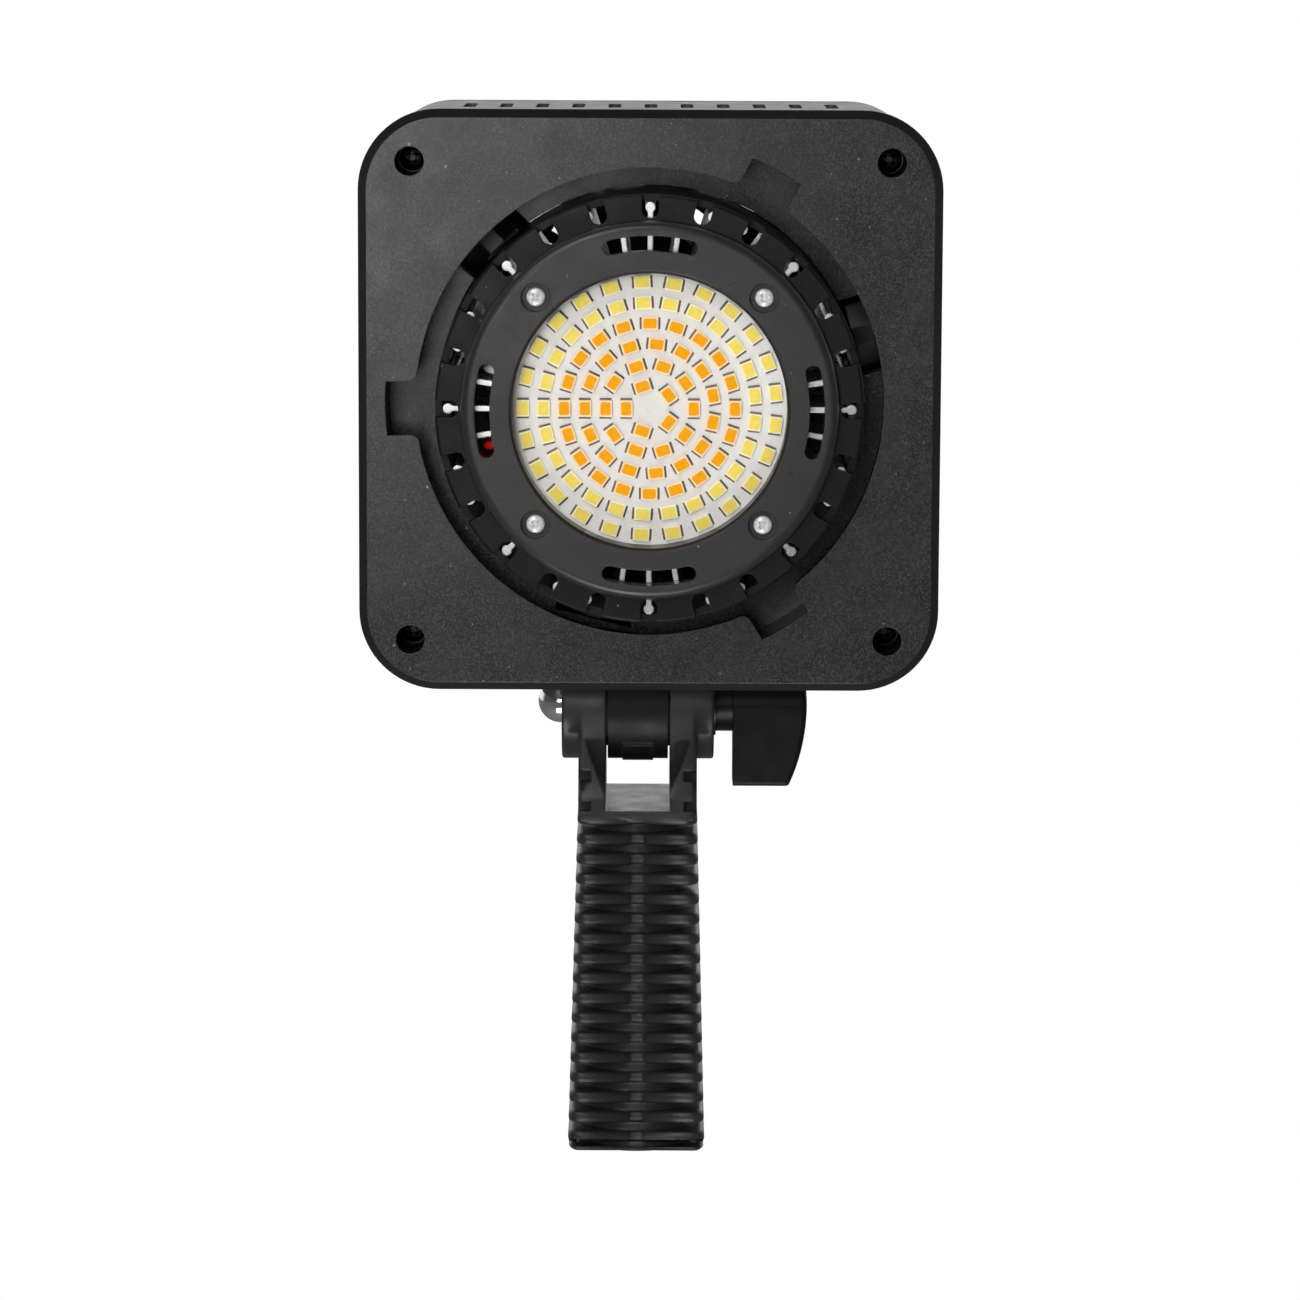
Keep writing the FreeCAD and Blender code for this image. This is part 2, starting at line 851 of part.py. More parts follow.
def make_grip():
    """The handle with its ribs, neck, ears and socket."""
    body = new_body("envelope")
    sketch = new_sketch(body, "XZ_Plane")
    foot, top, corner_radius = d.grip_foot_width / 2, d.grip_top_width / 2, d.grip_foot_corner
    outline(sketch, [
        (-foot + corner_radius, 0), (foot - corner_radius, 0, corner_radius),
        (foot, corner_radius), (top, d.grip_height), (-top, d.grip_height),
        (-foot, corner_radius, corner_radius),
    ])
    pad(body, sketch, d.grip_depth).Midplane = True
    is_upright = lambda edge: edge.BoundBox.ZLength > d.grip_height.value / 2
    finish_edges(body, "Fillet", d.grip_edge, is_upright)
    rib_starts = [d.rib_start + d.rib_pitch * index for index in range(RIB_COUNT)]
    wide = centred(d.grip_foot_width + d.overrun)
    deep = centred(d.grip_depth + d.overrun)
    bands = [block(wide, deep, (start, start + d.rib_face)) for start in rib_starts]
    ribs = common(body, group([block(wide, deep, (as_size(0), d.foot_plate)), *bands]))
    centre = grip_back - d.core_inset - d.core_foot_radius
    rise = (as_size(0), d.grip_height)
    core_front = cone("z", d.core_foot_radius, d.core_top_radius, rise, 0, -centre)
    core_back = cone("z", d.core_foot_radius, d.core_top_radius, rise, 0, centre)
    slab_body = new_body("core_slab")
    slab_sketch = new_sketch(slab_body, "XZ_Plane")
    outline(slab_sketch, [
        (-d.core_foot_radius, 0), (d.core_foot_radius, 0),
        (d.core_top_radius, d.grip_height), (-d.core_top_radius, d.grip_height),
    ])
    pad(slab_body, slab_sketch, centre * 2).Midplane = True
    core = fuse(core_front, core_back, slab_body)
    split_half = d.rib_split / 2
    splits = [
        block((-split_half, split_half), (-grip_back - d.overrun, -grip_back + d.core_inset), rise),
        block((-split_half, split_half), (grip_back - d.core_inset, grip_back + d.overrun), rise),
    ]
    neck_body = new_body("neck")
    neck_sketch = new_sketch(neck_body, "YZ_Plane")
    waist = d.ear_radius
    neck_foot = d.grip_height - d.rib_face
    outline(neck_sketch, [
        (-grip_back, neck_foot), (grip_back, neck_foot), (grip_back, shoulder_height),
        (waist, waist_height), (waist, hinge_height), (-waist, hinge_height),
        (-waist, waist_height), (-grip_back, shoulder_height),
    ])
    pad(neck_body, neck_sketch, d.neck_width).Midplane = True
    reaches_side = lambda edge: lies_at(edge, "x", d.neck_width / 2) or lies_at(edge, "x", -d.neck_width / 2)
    finish_edges(neck_body, "Fillet", d.neck_edge, reaches_side)
    is_rim = lambda edge: lies_at(edge, "x", ear_outer) or lies_at(edge, "x", -ear_outer)
    ears = rounded(rod("x", d.ear_radius, (-ear_outer, ear_outer), 0, hinge_height), d.ear_edge, is_rim)
    boss = rod("y", d.clamp_boss_radius, (sleeve_outer, clamp_seat), 0, d.clamp_height)
    solid = fuse(cut(ribs, *splits), core, neck_body, ears, boss)
    return finish("grip", cut(solid, *grip_tools()))


def grip_tools():
    """What is cut from the handle."""
    ear_top = hinge_height + d.ear_radius + d.overrun
    gap = block((-ear_inner, ear_inner), centred(d.grip_depth + d.overrun), (d.grip_height, ear_top))
    stud_hole = rod("x", d.stud_radius + d.running_gap, centred(d.ear_span + d.overrun), 0, hinge_height)
    nut_seat = (-ear_outer - d.overrun, -ear_outer + d.nut_height)
    nut_pocket = hexagon("x", d.nut_across + d.screw_gap, nut_seat, 0, hinge_height)
    socket = rod("z", sleeve_outer + d.fixed_gap, (-d.overrun, d.socket_depth))
    insert_span = (insert_start, clamp_seat + d.overrun)
    insert_hole = rod("y", d.insert_radius + d.fixed_gap, insert_span, 0, d.clamp_height)
    screw_hole = rod("y", d.clamp_screw_radius + d.free_gap, (as_size(0), clamp_seat), 0, d.clamp_height)
    tools = [gap, stud_hole, nut_pocket, socket, insert_hole, screw_hole]
    scoop = (-grip_back - d.overrun, -d.ear_radius - d.screw_gap)
    tools.append(rod("y", d.scoop_radius, scoop, 0, waist_height - d.scoop_drop))
    for side in (-1, 1):
        edge = (d.neck_width / 2 - d.side_pocket_width / 2) * side
        for row in range(2):
            face = (-grip_back - d.overrun, -grip_back + d.side_pocket_depth * (row + 1))
            height = d.grip_height + d.side_pocket_rise + d.side_pocket_pitch * row
            rise = centred(d.side_pocket_height, height)
            tools.append(block(centred(d.side_pocket_width, edge), face, rise))
    return tools


def make_spigot_sleeve():
    """The metal lining of the socket."""
    tube = rod("z", sleeve_outer, (as_size(0), d.socket_depth))
    bore = rod("z", d.socket_radius, (-d.overrun, d.socket_depth + d.overrun))
    hole_span = (as_size(0), sleeve_outer + d.overrun)
    screw_hole = rod("y", d.clamp_screw_radius + d.free_gap, hole_span, 0, d.clamp_height)
    return finish("spigot_sleeve", cut(tube, bore, screw_hole))


def make_clamp():
    """The threaded insert, the screw that presses on the spigot, and its knob."""
    insert = rod("y", d.insert_radius, (insert_start, clamp_seat), 0, d.clamp_height)
    thread_span = (insert_start - d.overrun, clamp_seat + d.overrun)
    thread = rod("y", d.clamp_screw_radius + d.running_gap, thread_span, 0, d.clamp_height)
    finish("clamp_insert", cut(insert, thread))
    screw_end = clamp_knob_start + d.clamp_bore_depth
    tip = d.socket_radius + d.free_gap
    shank = rod("y", d.clamp_screw_radius, (tip, screw_end), 0, d.clamp_height)
    at_tip = lambda edge: lies_at(edge, "y", tip)
    finish("clamp_screw", bevelled(shank, d.clamp_tip_bevel, at_tip))
    hub = rod("y", d.clamp_hub_radius, (clamp_hub_start, clamp_knob_start), 0, d.clamp_height)
    disc = rod("y", d.clamp_knob_radius, (clamp_knob_start, clamp_knob_end), 0, d.clamp_height)
    at_end = lambda edge: lies_at(edge, "y", clamp_knob_end) or lies_at(edge, "y", clamp_knob_start)
    disc = rounded(disc, d.knob_edge, at_end)
    flutes = []
    for index in range(KNOB_FLUTES):
        x, z = polar(d.clamp_knob_radius + d.clamp_flute_radius / 2, 360.0 * index / KNOB_FLUTES)
        span = (clamp_knob_start - d.overrun, clamp_knob_end + d.overrun)
        flutes.append(rod("y", d.clamp_flute_radius, span, x, z + d.clamp_height))
    bore_span = (clamp_hub_start - d.overrun, screw_end)
    bore = rod("y", d.clamp_screw_radius + d.fixed_gap, bore_span, 0, d.clamp_height)
    finish("clamp_knob", cut(fuse(hub, disc), bore, *flutes))


# The tilt joint

def make_tilt_hardware():
    """The dome nut, the washers, the stud and the lever."""
    inner = -ear_outer + d.nut_height
    nut = hexagon("x", d.nut_across, (-ear_outer, inner), 0, hinge_height)
    neck = -ear_outer - d.nut_dome_height + d.nut_dome_radius
    cap = rod("x", d.nut_dome_radius, (neck, -ear_outer), 0, hinge_height)
    dome = document.addObject("Part::Sphere", "dome")
    bind(dome, Radius=d.nut_dome_radius)
    place(dome, neck, 0, hinge_height)
    thread_span = (-d.stud_reach - d.free_gap, as_size(0))
    thread = rod("x", d.stud_radius + d.running_gap, thread_span, 0, hinge_height)
    finish("tilt_nut", cut(fuse(nut, cap, dome), thread))
    slack = d.fixed_gap
    washers = []
    for side in (-1, 1):
        span = sorted((knuckle_half * side + slack * side, ear_inner * side - slack * side), key=float)
        ring = rod("x", d.friction_washer_radius, span, 0, hinge_height)
        hole_span = (span[0] - d.overrun, span[1] + d.overrun)
        washers.append(cut(ring, rod("x", d.stud_radius + d.screw_gap, hole_span, 0, hinge_height)))
    finish("tilt_washers", group(washers))
    ring = rod("x", d.lever_washer_radius, (ear_outer, boss_start), 0, hinge_height)
    hole_span = (ear_outer - d.overrun, boss_start + d.overrun)
    hole = rod("x", d.stud_radius + d.screw_gap, hole_span, 0, hinge_height)
    finish("lever_washer", cut(ring, hole))
    stud_end = lever_start + d.stud_seat
    finish("lever_stud", rod("x", d.stud_radius, (-d.stud_reach, stud_end), 0, hinge_height))


def make_tilt_lever():
    """The lever that locks the tilt: a round boss and a wing that hangs from its hub."""
    body = new_body("wing")
    sketch = new_sketch(body, "YZ_Plane", lever_start)
    hub, tip, z = d.lever_hub_radius, d.lever_tip_depth / 2, hinge_height
    outline(sketch, [
        (-tip, z - d.lever_drop), (tip, z - d.lever_drop),
        (hub, z, hub), (as_size(0), z + hub, hub), (-hub, z),
    ])
    pad(body, sketch, d.lever_width, inward=False)
    crown_radius = (float(d.lever_drop) ** 2 + float(d.lever_crown) ** 2) / (2 * float(d.lever_crown))
    crown_share = crown_radius / float(d.lever_drop)
    crown = rod("y", d.lever_drop * crown_share, centred(d.lever_hub_radius * 2 + d.overrun),
                lever_end - d.lever_drop * crown_share, hinge_height)
    wing = rounded(common(body, crown), d.lever_edge, lambda edge: not lies_at(edge, "x", lever_start))
    boss = rod("x", d.boss_radius, (boss_start, lever_start), 0, hinge_height)
    bore_span = (boss_start - d.overrun, lever_start + d.stud_seat)
    bore = rod("x", d.stud_radius + d.fixed_gap, bore_span, 0, hinge_height)
    return finish("tilt_lever", cut(fuse(wing, boss), bore))


def make_tilt_foot():
    """The bracket inside the housing, with the knuckle that hangs between the ears."""
    plate = block(centred(d.foot_cutout_width + d.foot_seat_border * 2 - d.free_gap * 2, hinge_x),
                  centred(d.foot_cutout_depth + d.foot_seat_border * 2 - d.free_gap * 2, hinge_y),
                  (foot_seat_z, foot_top_z))
    plate = rounded(plate, d.foot_plate_thickness, lambda edge: runs_along(edge, "z"))
    knuckle_span = (hinge_x - knuckle_half, hinge_x + knuckle_half)
    knuckle = rod("x", d.ear_radius, knuckle_span, hinge_y, hinge_z)
    web = block(knuckle_span, centred(d.foot_web_depth, hinge_y), (hinge_z, foot_seat_z))
    tongue_front = hinge_y - d.ear_radius * TONGUE_SHARE - d.tongue_stand
    tongue = block(centred(d.tongue_width, hinge_x), (tongue_front, hinge_y),
                   (hinge_z - d.ear_radius, hinge_z - d.ear_radius + d.tongue_length))
    round_end = rod("x", d.ear_radius + d.tongue_stand / 2, knuckle_span, hinge_y, hinge_z)
    tongue = common(tongue, round_end)
    hole = rod("x", d.stud_radius + d.running_gap, (knuckle_span[0] - d.overrun, knuckle_span[1] + d.overrun),
               hinge_y, hinge_z)
    screw_span = (foot_seat_z - d.overrun, foot_top_z + d.overrun)
    screw_holes = [rod("z", d.corner_shank_radius + d.screw_gap, screw_span, x, y)
                   for x, y in foot_screw_spots()]
    finish("tilt_foot", cut(fuse(plate, web, knuckle, tongue), hole, *screw_holes), in_head=True)
    spots = [(x, y, foot_top_z + d.foot_head) for x, y in foot_screw_spots()]
    make_screws("tilt_foot_screws", spots, ("x", -90.0), d.foot_head_radius, d.foot_head,
                d.corner_shank_radius, d.foot_shank)


def foot_screw_spots():
    """Where the foot is screwed to its seat, as X and Y."""
    across = (d.foot_cutout_width + d.foot_seat_border) / 2
    along = (d.foot_cutout_depth + d.foot_seat_border) / 2
    return [(hinge_x + across * i, hinge_y + along * k) for i in (-1, 1) for k in (-1, 1)]


# Screws

def screw_shape(head_radius, head, shank_radius, shank):
    """A cross-head screw along +Y, with the top of its head at the origin."""
    y_axis = FreeCAD.Vector(0, 1, 0)
    head_shape = Part.makeCylinder(float(head_radius), float(head), FreeCAD.Vector(), y_axis)
    top = [edge for edge in head_shape.Edges if lies_at(edge, "y", 0)]
    head_shape = head_shape.makeFillet(float(head) * HEAD_EDGE_SHARE, top)
    shank_base = FreeCAD.Vector(0, float(head), 0)
    shape = head_shape.fuse(Part.makeCylinder(float(shank_radius), float(shank), shank_base, y_axis))
    length = float(head_radius) * CROSS_LENGTH_SHARE
    width = float(head_radius) * CROSS_WIDTH_SHARE
    depth = float(head) * CROSS_DEPTH_SHARE
    for size_x, size_z in ((length, width), (width, length)):
        base = FreeCAD.Vector(-size_x / 2, -depth, -size_z / 2)
        shape = shape.cut(Part.makeBox(size_x, 2 * depth, size_z, base))
    return shape.removeSplitter()


def make_screws(node, spots, turn, head_radius, head, shank_radius, shank):
    """A set of equal screws, each with the top of its head at a spot, turned from +Y."""
    shape = screw_shape(head_radius, head, shank_radius, shank)
    axes = {"x": FreeCAD.Vector(1, 0, 0), "z": FreeCAD.Vector(0, 0, 1)}
    copies = []
    for spot in spots:
        copy = shape.copy()
        copy.rotate(FreeCAD.Vector(), axes[turn[0]], turn[1])
        copy.translate(FreeCAD.Vector(*[float(size) for size in spot]))
        copies.append(copy)
    return finish(node, shaped(Part.makeCompound(copies)), in_head=True)


AHEAD = ("z", 0.0)
BACKWARD = ("z", 180.0)
DOWNWARD = ("x", -90.0)


# The front plate and the bayonet

def make_front_plate():
    """The face of the head, with its round opening, three notches and four deep screw sleeves."""
    body = new_body("plate")
    face = new_sketch(body, "XZ_Plane")
    rounded_square(face, d.plate_width, d.plate_width, d.plate_corner)
    pad(body, face, d.plate_depth)
    finish_edges(body, "Chamfer", d.plate_bevel, lambda edge: lies_at(edge, "y", 0))
    sleeves = new_sketch(body, "XZ_Plane", -d.face_thickness)
    for x, z in corner_spots:
        circle(sleeves, d.sleeve_radius, x, z)
    pad(body, sleeves, sleeve_end - d.face_thickness)
    opening = new_sketch(body, "XZ_Plane")
    circle(opening, d.opening_radius)
    pocket(body, opening, d.plate_depth)
    notch = new_sketch(body, "XZ_Plane")
    radial_tab(notch, d.drum_radius, d.notch_radius, d.notch_width, NOTCH_DEGREES[0])
    polar_pattern(body, pocket(body, notch, d.plate_depth), notch, len(NOTCH_DEGREES))
    near_mouth = lambda edge: runs_along(edge, "y") and abs(
        math.hypot(edge.BoundBox.XMin, edge.BoundBox.ZMin) - d.opening_radius.value) < d.free_gap.value
    finish_edges(body, "Fillet", d.notch_corner, near_mouth)
    channel = new_sketch(body, "XZ_Plane", -d.face_thickness)
    circle(channel, channel_radius)
    pocket(body, channel, d.plate_depth)
    bosses = new_sketch(body, "XZ_Plane", -d.face_thickness)
    ring_spots = [polar(ring_ear_pitch, degrees) for degrees in DIAGONAL_DEGREES]
    for x, z in ring_spots:
        circle(bosses, d.ring_ear_radius, x, z)
    pad(body, bosses, d.ring_depth - d.face_thickness)
    pilots = new_sketch(body, "XZ_Plane", -d.face_thickness)
    for x, z in ring_spots:
        circle(pilots, d.small_shank_radius + d.fixed_gap, x, z)
    pocket(body, pilots, d.ring_depth)
    wells = new_sketch(body, "XZ_Plane")
    for x, z in corner_spots:
        circle(wells, d.corner_hole_radius, x, z)
    pocket(body, wells, head_screw_seat)
    holes = new_sketch(body, "XZ_Plane")
    for x, z in corner_spots:
        circle(holes, d.corner_shank_radius + d.screw_gap, x, z)
    pocket(body, holes, sleeve_end + d.overrun)
    finish("front_plate", body, in_head=True)
    spots = [(x, d.corner_screw_depth, z) for x, z in corner_spots]
    make_screws("plate_screws", spots, AHEAD, d.corner_head_radius, d.corner_head,
                d.corner_shank_radius, d.corner_shank)


def make_bayonet_ring():
    """The cup behind the opening: the channel's wall and floor, spring windows and posts."""
    wall_start = d.plate_depth + d.fixed_gap
    span = (d.ring_depth, ring_back)
    cup = cut(rod("y", ring_outer, (wall_start, ring_back)),
              rod("y", channel_radius, (wall_start - d.overrun, d.ring_depth)))
    ears, ear_holes, posts, post_holes = [], [], [], []
    for degrees in DIAGONAL_DEGREES:
        x, z = polar(ring_ear_pitch, degrees)
        ears.append(rod("y", d.ring_ear_radius, span, x, z))
        ears.append(spoke(degrees, ring_outer - d.overrun, ring_ear_pitch, d.ring_ear_radius * 2, span))
        through = (d.ring_depth - d.overrun, ring_back + d.overrun)
        ear_holes.append(rod("y", d.small_shank_radius + d.screw_gap, through, x, z))
        x, z = polar(d.drum_post_pitch, degrees)
        posts.append(rod("y", d.drum_post_radius, (d.ring_depth, lug_front), x, z))
        post_holes.append(rod("y", d.small_shank_radius + d.fixed_gap,
                              (d.ring_depth + d.free_gap * 2, lug_front + d.overrun), x, z))
    bore = rod("y", d.ring_bore_radius, (d.ring_depth - d.overrun, ring_back + d.overrun))
    windows = [spoke(degrees, d.window_inner_radius, d.window_outer_radius, d.window_length,
                     (d.ring_depth - d.overrun, ring_back + d.overrun)) for degrees in WINDOW_DEGREES]
    ring = cut(fuse(cup, *ears, *posts), bore, *windows, *ear_holes, *post_holes)
    finish("bayonet_ring", ring, in_head=True)
    spots = [(*polar(ring_ear_pitch, degrees), ring_back + d.ring_head) for degrees in DIAGONAL_DEGREES]
    spots = [(x, depth, z) for x, z, depth in spots]
    make_screws("bayonet_ring_screws", spots, BACKWARD, d.ring_head_radius, d.ring_head,
                d.small_shank_radius, d.ring_shank)


def make_bayonet_springs():
    """Three leaf springs that rise through the windows of the ring."""
    half = float(d.window_length) / 2
    foot = half + float(d.spring_foot)
    crest = float(d.spring_crest) / 2
    low, high = float(ring_back), float(d.ring_depth) - float(d.spring_thickness)
    thick = float(d.spring_thickness)
    near, far = float(d.ring_bore_radius), float(d.window_outer_radius)
    margin = float(d.free_gap)
    inside = half - margin
    lower = [(-foot, low), (-inside, low), (-crest, high), (crest, high), (inside, low), (foot, low)]
    upper = [(u, y + thick) for u, y in reversed(lower)]
    points = [FreeCAD.Vector(near + margin, y, u) for u, y in (*lower, *upper, lower[0])]
    strip = Part.Face(Part.makePolygon(points)).extrude(FreeCAD.Vector(far - near - 2 * margin, 0, 0))
    strips = []
    for degrees in WINDOW_DEGREES:
        copy = strip.copy()
        copy.rotate(FreeCAD.Vector(), FreeCAD.Vector(0, 1, 0), -degrees)
        strips.append(copy)
    return finish("bayonet_springs", shaped(Part.makeCompound(strips)), in_head=True)


# The lamp

def make_lamp_drum():
    """The cup round the heat sink, with slots through its front rim and four lugs behind the ring."""
    inner = d.drum_radius - d.drum_wall
    body = revolved("drum", [
        (d.drum_hole_radius, drum_front), (d.drum_radius - d.drum_edge, drum_front, d.drum_edge),
        (d.drum_radius, drum_front + d.drum_edge), (d.drum_radius, lug_back),
        (inner, lug_back), (inner, drum_inner_face), (d.drum_hole_radius, drum_inner_face),
    ])
    lug = new_sketch(body, "XZ_Plane", -lug_front)
    radial_tab(lug, d.drum_radius - d.drum_wall / 2, d.drum_lug_radius, d.drum_lug_width, DIAGONAL_DEGREES[0])
    polar_pattern(body, pad(body, lug, d.drum_lug), lug, len(DIAGONAL_DEGREES))
    slot = new_sketch(body, "XZ_Plane", -drum_front)
    half = d.slot_width / 2
    straight = d.slot_inner_radius + half
    outline(slot, [
        (d.slot_inner_radius, 0, half), (straight, -half), (d.drum_radius + d.overrun, -half),
        (d.drum_radius + d.overrun, half), (straight, half, half),
    ])
    polar_pattern(body, pocket(body, slot, d.slot_depth), slot, SLOT_COUNT)
    opening = new_sketch(body, "XZ_Plane", -drum_front)
    kidney(opening, d.kidney_radius, d.kidney_width, KIDNEY_HALF_DEGREES)
    polar_pattern(body, pocket(body, opening, d.drum_wall), opening, 4)
    holes = new_sketch(body, "XZ_Plane", -drum_front)
    for degrees in DIAGONAL_DEGREES:
        circle(holes, d.small_shank_radius + d.screw_gap, *polar(d.bezel_screw_pitch, degrees))
    pocket(body, holes, d.drum_wall)
    posts = new_sketch(body, "XZ_Plane", -lug_front)
    for degrees in DIAGONAL_DEGREES:
        circle(posts, d.small_shank_radius + d.screw_gap, *polar(d.drum_post_pitch, degrees))
    pocket(body, posts, d.drum_lug)
    finish("lamp_drum", body, in_head=True)
    spots = [(*polar(d.drum_post_pitch, degrees), lug_back + d.small_head) for degrees in DIAGONAL_DEGREES]
    spots = [(x, depth, z) for x, z, depth in spots]
    make_screws("drum_screws", spots, BACKWARD, d.small_head_radius, d.small_head,
                d.small_shank_radius, d.drum_lug + d.ring_thickness)


def make_lamp_bezel():
    """The raised ring that clamps the board, with four kidney openings."""
    lip_end = board_front - d.fixed_gap
    body = revolved("bezel", [
        (d.bezel_inner_radius + d.bezel_bevel, bezel_front),
        (d.bezel_outer_radius - d.bezel_edge, bezel_front, d.bezel_edge),
        (d.bezel_outer_radius, bezel_front + d.bezel_edge), (d.bezel_outer_radius, drum_front),
        (d.lip_radius, drum_front), (d.lip_radius, lip_end), (d.bezel_inner_radius, lip_end),
        (d.bezel_inner_radius, bezel_front + d.bezel_bevel),
    ])
    opening = new_sketch(body, "XZ_Plane", -bezel_front)
    kidney(opening, d.kidney_radius, d.kidney_width, KIDNEY_HALF_DEGREES)
    polar_pattern(body, pocket(body, opening, d.bezel_rise), opening, 4)
    recesses = new_sketch(body, "XZ_Plane", -bezel_front)
    holes = new_sketch(body, "XZ_Plane", -bezel_front)
    for degrees in DIAGONAL_DEGREES:
        circle(recesses, d.bezel_recess_radius, *polar(d.bezel_screw_pitch, degrees))
        circle(holes, d.small_shank_radius + d.screw_gap, *polar(d.bezel_screw_pitch, degrees))
    pocket(body, recesses, d.bezel_recess_depth)
    pocket(body, holes, d.bezel_rise + d.drum_wall + d.overrun)
    finish("lamp_bezel", body, in_head=True)
    seat = bezel_front + d.bezel_recess_depth - d.small_head
    spots = [(*polar(d.bezel_screw_pitch, degrees), seat) for degrees in DIAGONAL_DEGREES]
    spots = [(x, depth, z) for x, z, depth in spots]
    make_screws("bezel_screws", spots, AHEAD, d.small_head_radius, d.small_head,
                d.small_shank_radius, d.small_shank)


def led_rings(counts, first):
    """Packages in rings, each ring starting at the left."""
    length, width, height = float(d.led_length), float(d.led_width), float(d.led_height)
    package = Part.makeBox(width, height, length, FreeCAD.Vector(-width / 2, -height, -length / 2))
    front = [edge for edge in package.Edges if lies_at(edge, "y", -height)]
    package = package.makeChamfer(float(d.led_edge), front)
    copies = []
    for ring, count in enumerate(counts, start=first):
        radius = float(d.first_ring_radius + d.ring_pitch * ring)
        for index in range(count):
            copy = package.copy()
            copy.translate(FreeCAD.Vector(radius, float(board_front), 0))
            copy.rotate(FreeCAD.Vector(), FreeCAD.Vector(0, 1, 0), FIRST_LED_DEGREES - 360.0 * index / count)
            copies.append(copy)
    return shaped(Part.makeCompound(copies))


def make_light_engine():
    """The board, its two kinds of packages and the pad behind it."""
    finish("led_board", rod("y", d.board_radius, (board_front, board_back)), in_head=True)
    finish("warm_leds", led_rings(WARM_RINGS, 0), in_head=True)
    finish("cool_leds", led_rings(COOL_RINGS, len(WARM_RINGS)), in_head=True)
    finish("thermal_pad", rod("y", d.pad_radius, (board_back, sink_seat)), in_head=True)


def make_heat_sink():
    """A core with forty fins whose edges end in round beads."""
    body = new_body("sink")
    core = new_sketch(body, "XZ_Plane", -sink_seat)
    circle(core, d.sink_core_radius)
    pad(body, core, sink_back - sink_seat)
    base = new_sketch(body, "XZ_Plane", -sink_seat)
    circle(base, d.board_radius)
    pad(body, base, d.sink_base)
    fin = new_sketch(body, "XZ_Plane", -sink_front)
    half, bead = d.fin_thickness / 2, d.fin_bulb_radius
    root = d.sink_core_radius - d.fin_thickness
    joint = d.fin_reach - bead * math.sqrt(1.0 - (float(half) / float(bead)) ** 2)
    outline(fin, [
        (root, -half), (joint, -half, bead), (d.fin_reach + bead, 0, bead), (joint, half), (root, half),
    ])
    polar_pattern(body, pad(body, fin, sink_back - sink_front), fin, FIN_COUNT)
    bosses = new_sketch(body, "XZ_Plane", -sink_front)
    holes = new_sketch(body, "XZ_Plane", -sink_front)
    for degrees in DIAGONAL_DEGREES:
        circle(bosses, d.sink_boss_radius, *polar(d.bezel_screw_pitch + d.sink_boss_shift, degrees))
        circle(holes, d.small_shank_radius + d.fixed_gap, *polar(d.bezel_screw_pitch, degrees))
    pad(body, bosses, d.sink_hole_depth + d.overrun)
    well = new_sketch(body, "XZ_Plane", -sink_front)
    circle(well, d.lip_radius + d.free_gap)
    pocket(body, well, sink_seat - sink_front)
    pocket(body, holes, d.sink_hole_depth)
    return finish("heat_sink", body, in_head=True)


# The housing and what it holds

def make_housing():
    """The square tube, with vents, screw posts, board posts and the seat of the foot."""
    body = new_body("shell")
    outer = new_sketch(body, "XZ_Plane", -d.plate_depth)
    rounded_square(outer, housing_half * 2, housing_half * 2, housing_corner)
    pad(body, outer, cover_front - d.plate_depth)
    inner = new_sketch(body, "XZ_Plane", -d.plate_depth)
    rounded_square(inner, inner_half * 2, inner_half * 2, housing_corner - d.housing_wall)
    pocket(body, inner, cover_front - d.plate_depth)
    seat = new_sketch(body, "XY_Plane", -inner_half - d.housing_wall / 2)
    seat_width = centred(d.foot_cutout_width + d.foot_seat_border * 2, hinge_x)
    seat_depth = centred(d.foot_cutout_depth + d.foot_seat_border * 2, hinge_y)
    rectangle(seat, seat_width, seat_depth)
    pad(body, seat, d.foot_seat_height + d.housing_wall / 2, inward=False)
    cutout = new_sketch(body, "XY_Plane", -housing_half)
    rectangle(cutout, centred(d.foot_cutout_width, hinge_x), centred(d.foot_cutout_depth, hinge_y))
    pocket(body, cutout, d.housing_wall + d.foot_seat_height, inward=False)
    first_vent = vent_sketch(body, "XY_Plane", housing_half)
    cut_vent = pocket(body, first_vent, d.housing_wall)
    linear_pattern(body, cut_vent, first_vent, "H_Axis", d.vent_pitch * (VENT_COUNT - 1), VENT_COUNT)
    front_posts = [post(x, z, sleeve_end) for x, z in corner_spots]
    rear_posts = [post(x, z, cover_front - d.post_length) for x, z in corner_spots]
    posts = common(casing_block(d.plate_depth, cover_front), fuse(*front_posts, *rear_posts))
    standoffs = [rod("z", d.standoff_radius, (-inner_half - d.housing_wall / 2, driver_z), x, y)
                 for x, y in driver_spots()]
    pilot_radius = d.corner_shank_radius + d.fixed_gap
    front_span = (sleeve_end - d.overrun, sleeve_end + d.corner_shank)
    rear_span = (cover_front - d.corner_shank, cover_front + d.overrun)
    foot_span = (foot_top_z - d.foot_shank - d.fixed_gap, foot_seat_z + d.overrun)
    board_span = (driver_z - d.small_shank, driver_z + d.overrun)
    pilots = [rod("y", pilot_radius, span, x, z) for span in (front_span, rear_span) for x, z in corner_spots]
    pilots += [rod("z", pilot_radius, foot_span, x, y) for x, y in foot_screw_spots()]
    pilots += [rod("z", d.small_shank_radius + d.fixed_gap, board_span, x, y) for x, y in driver_spots()]
    return finish("housing", cut(fuse(body, posts, *standoffs), *pilots, *side_vents()), in_head=True)


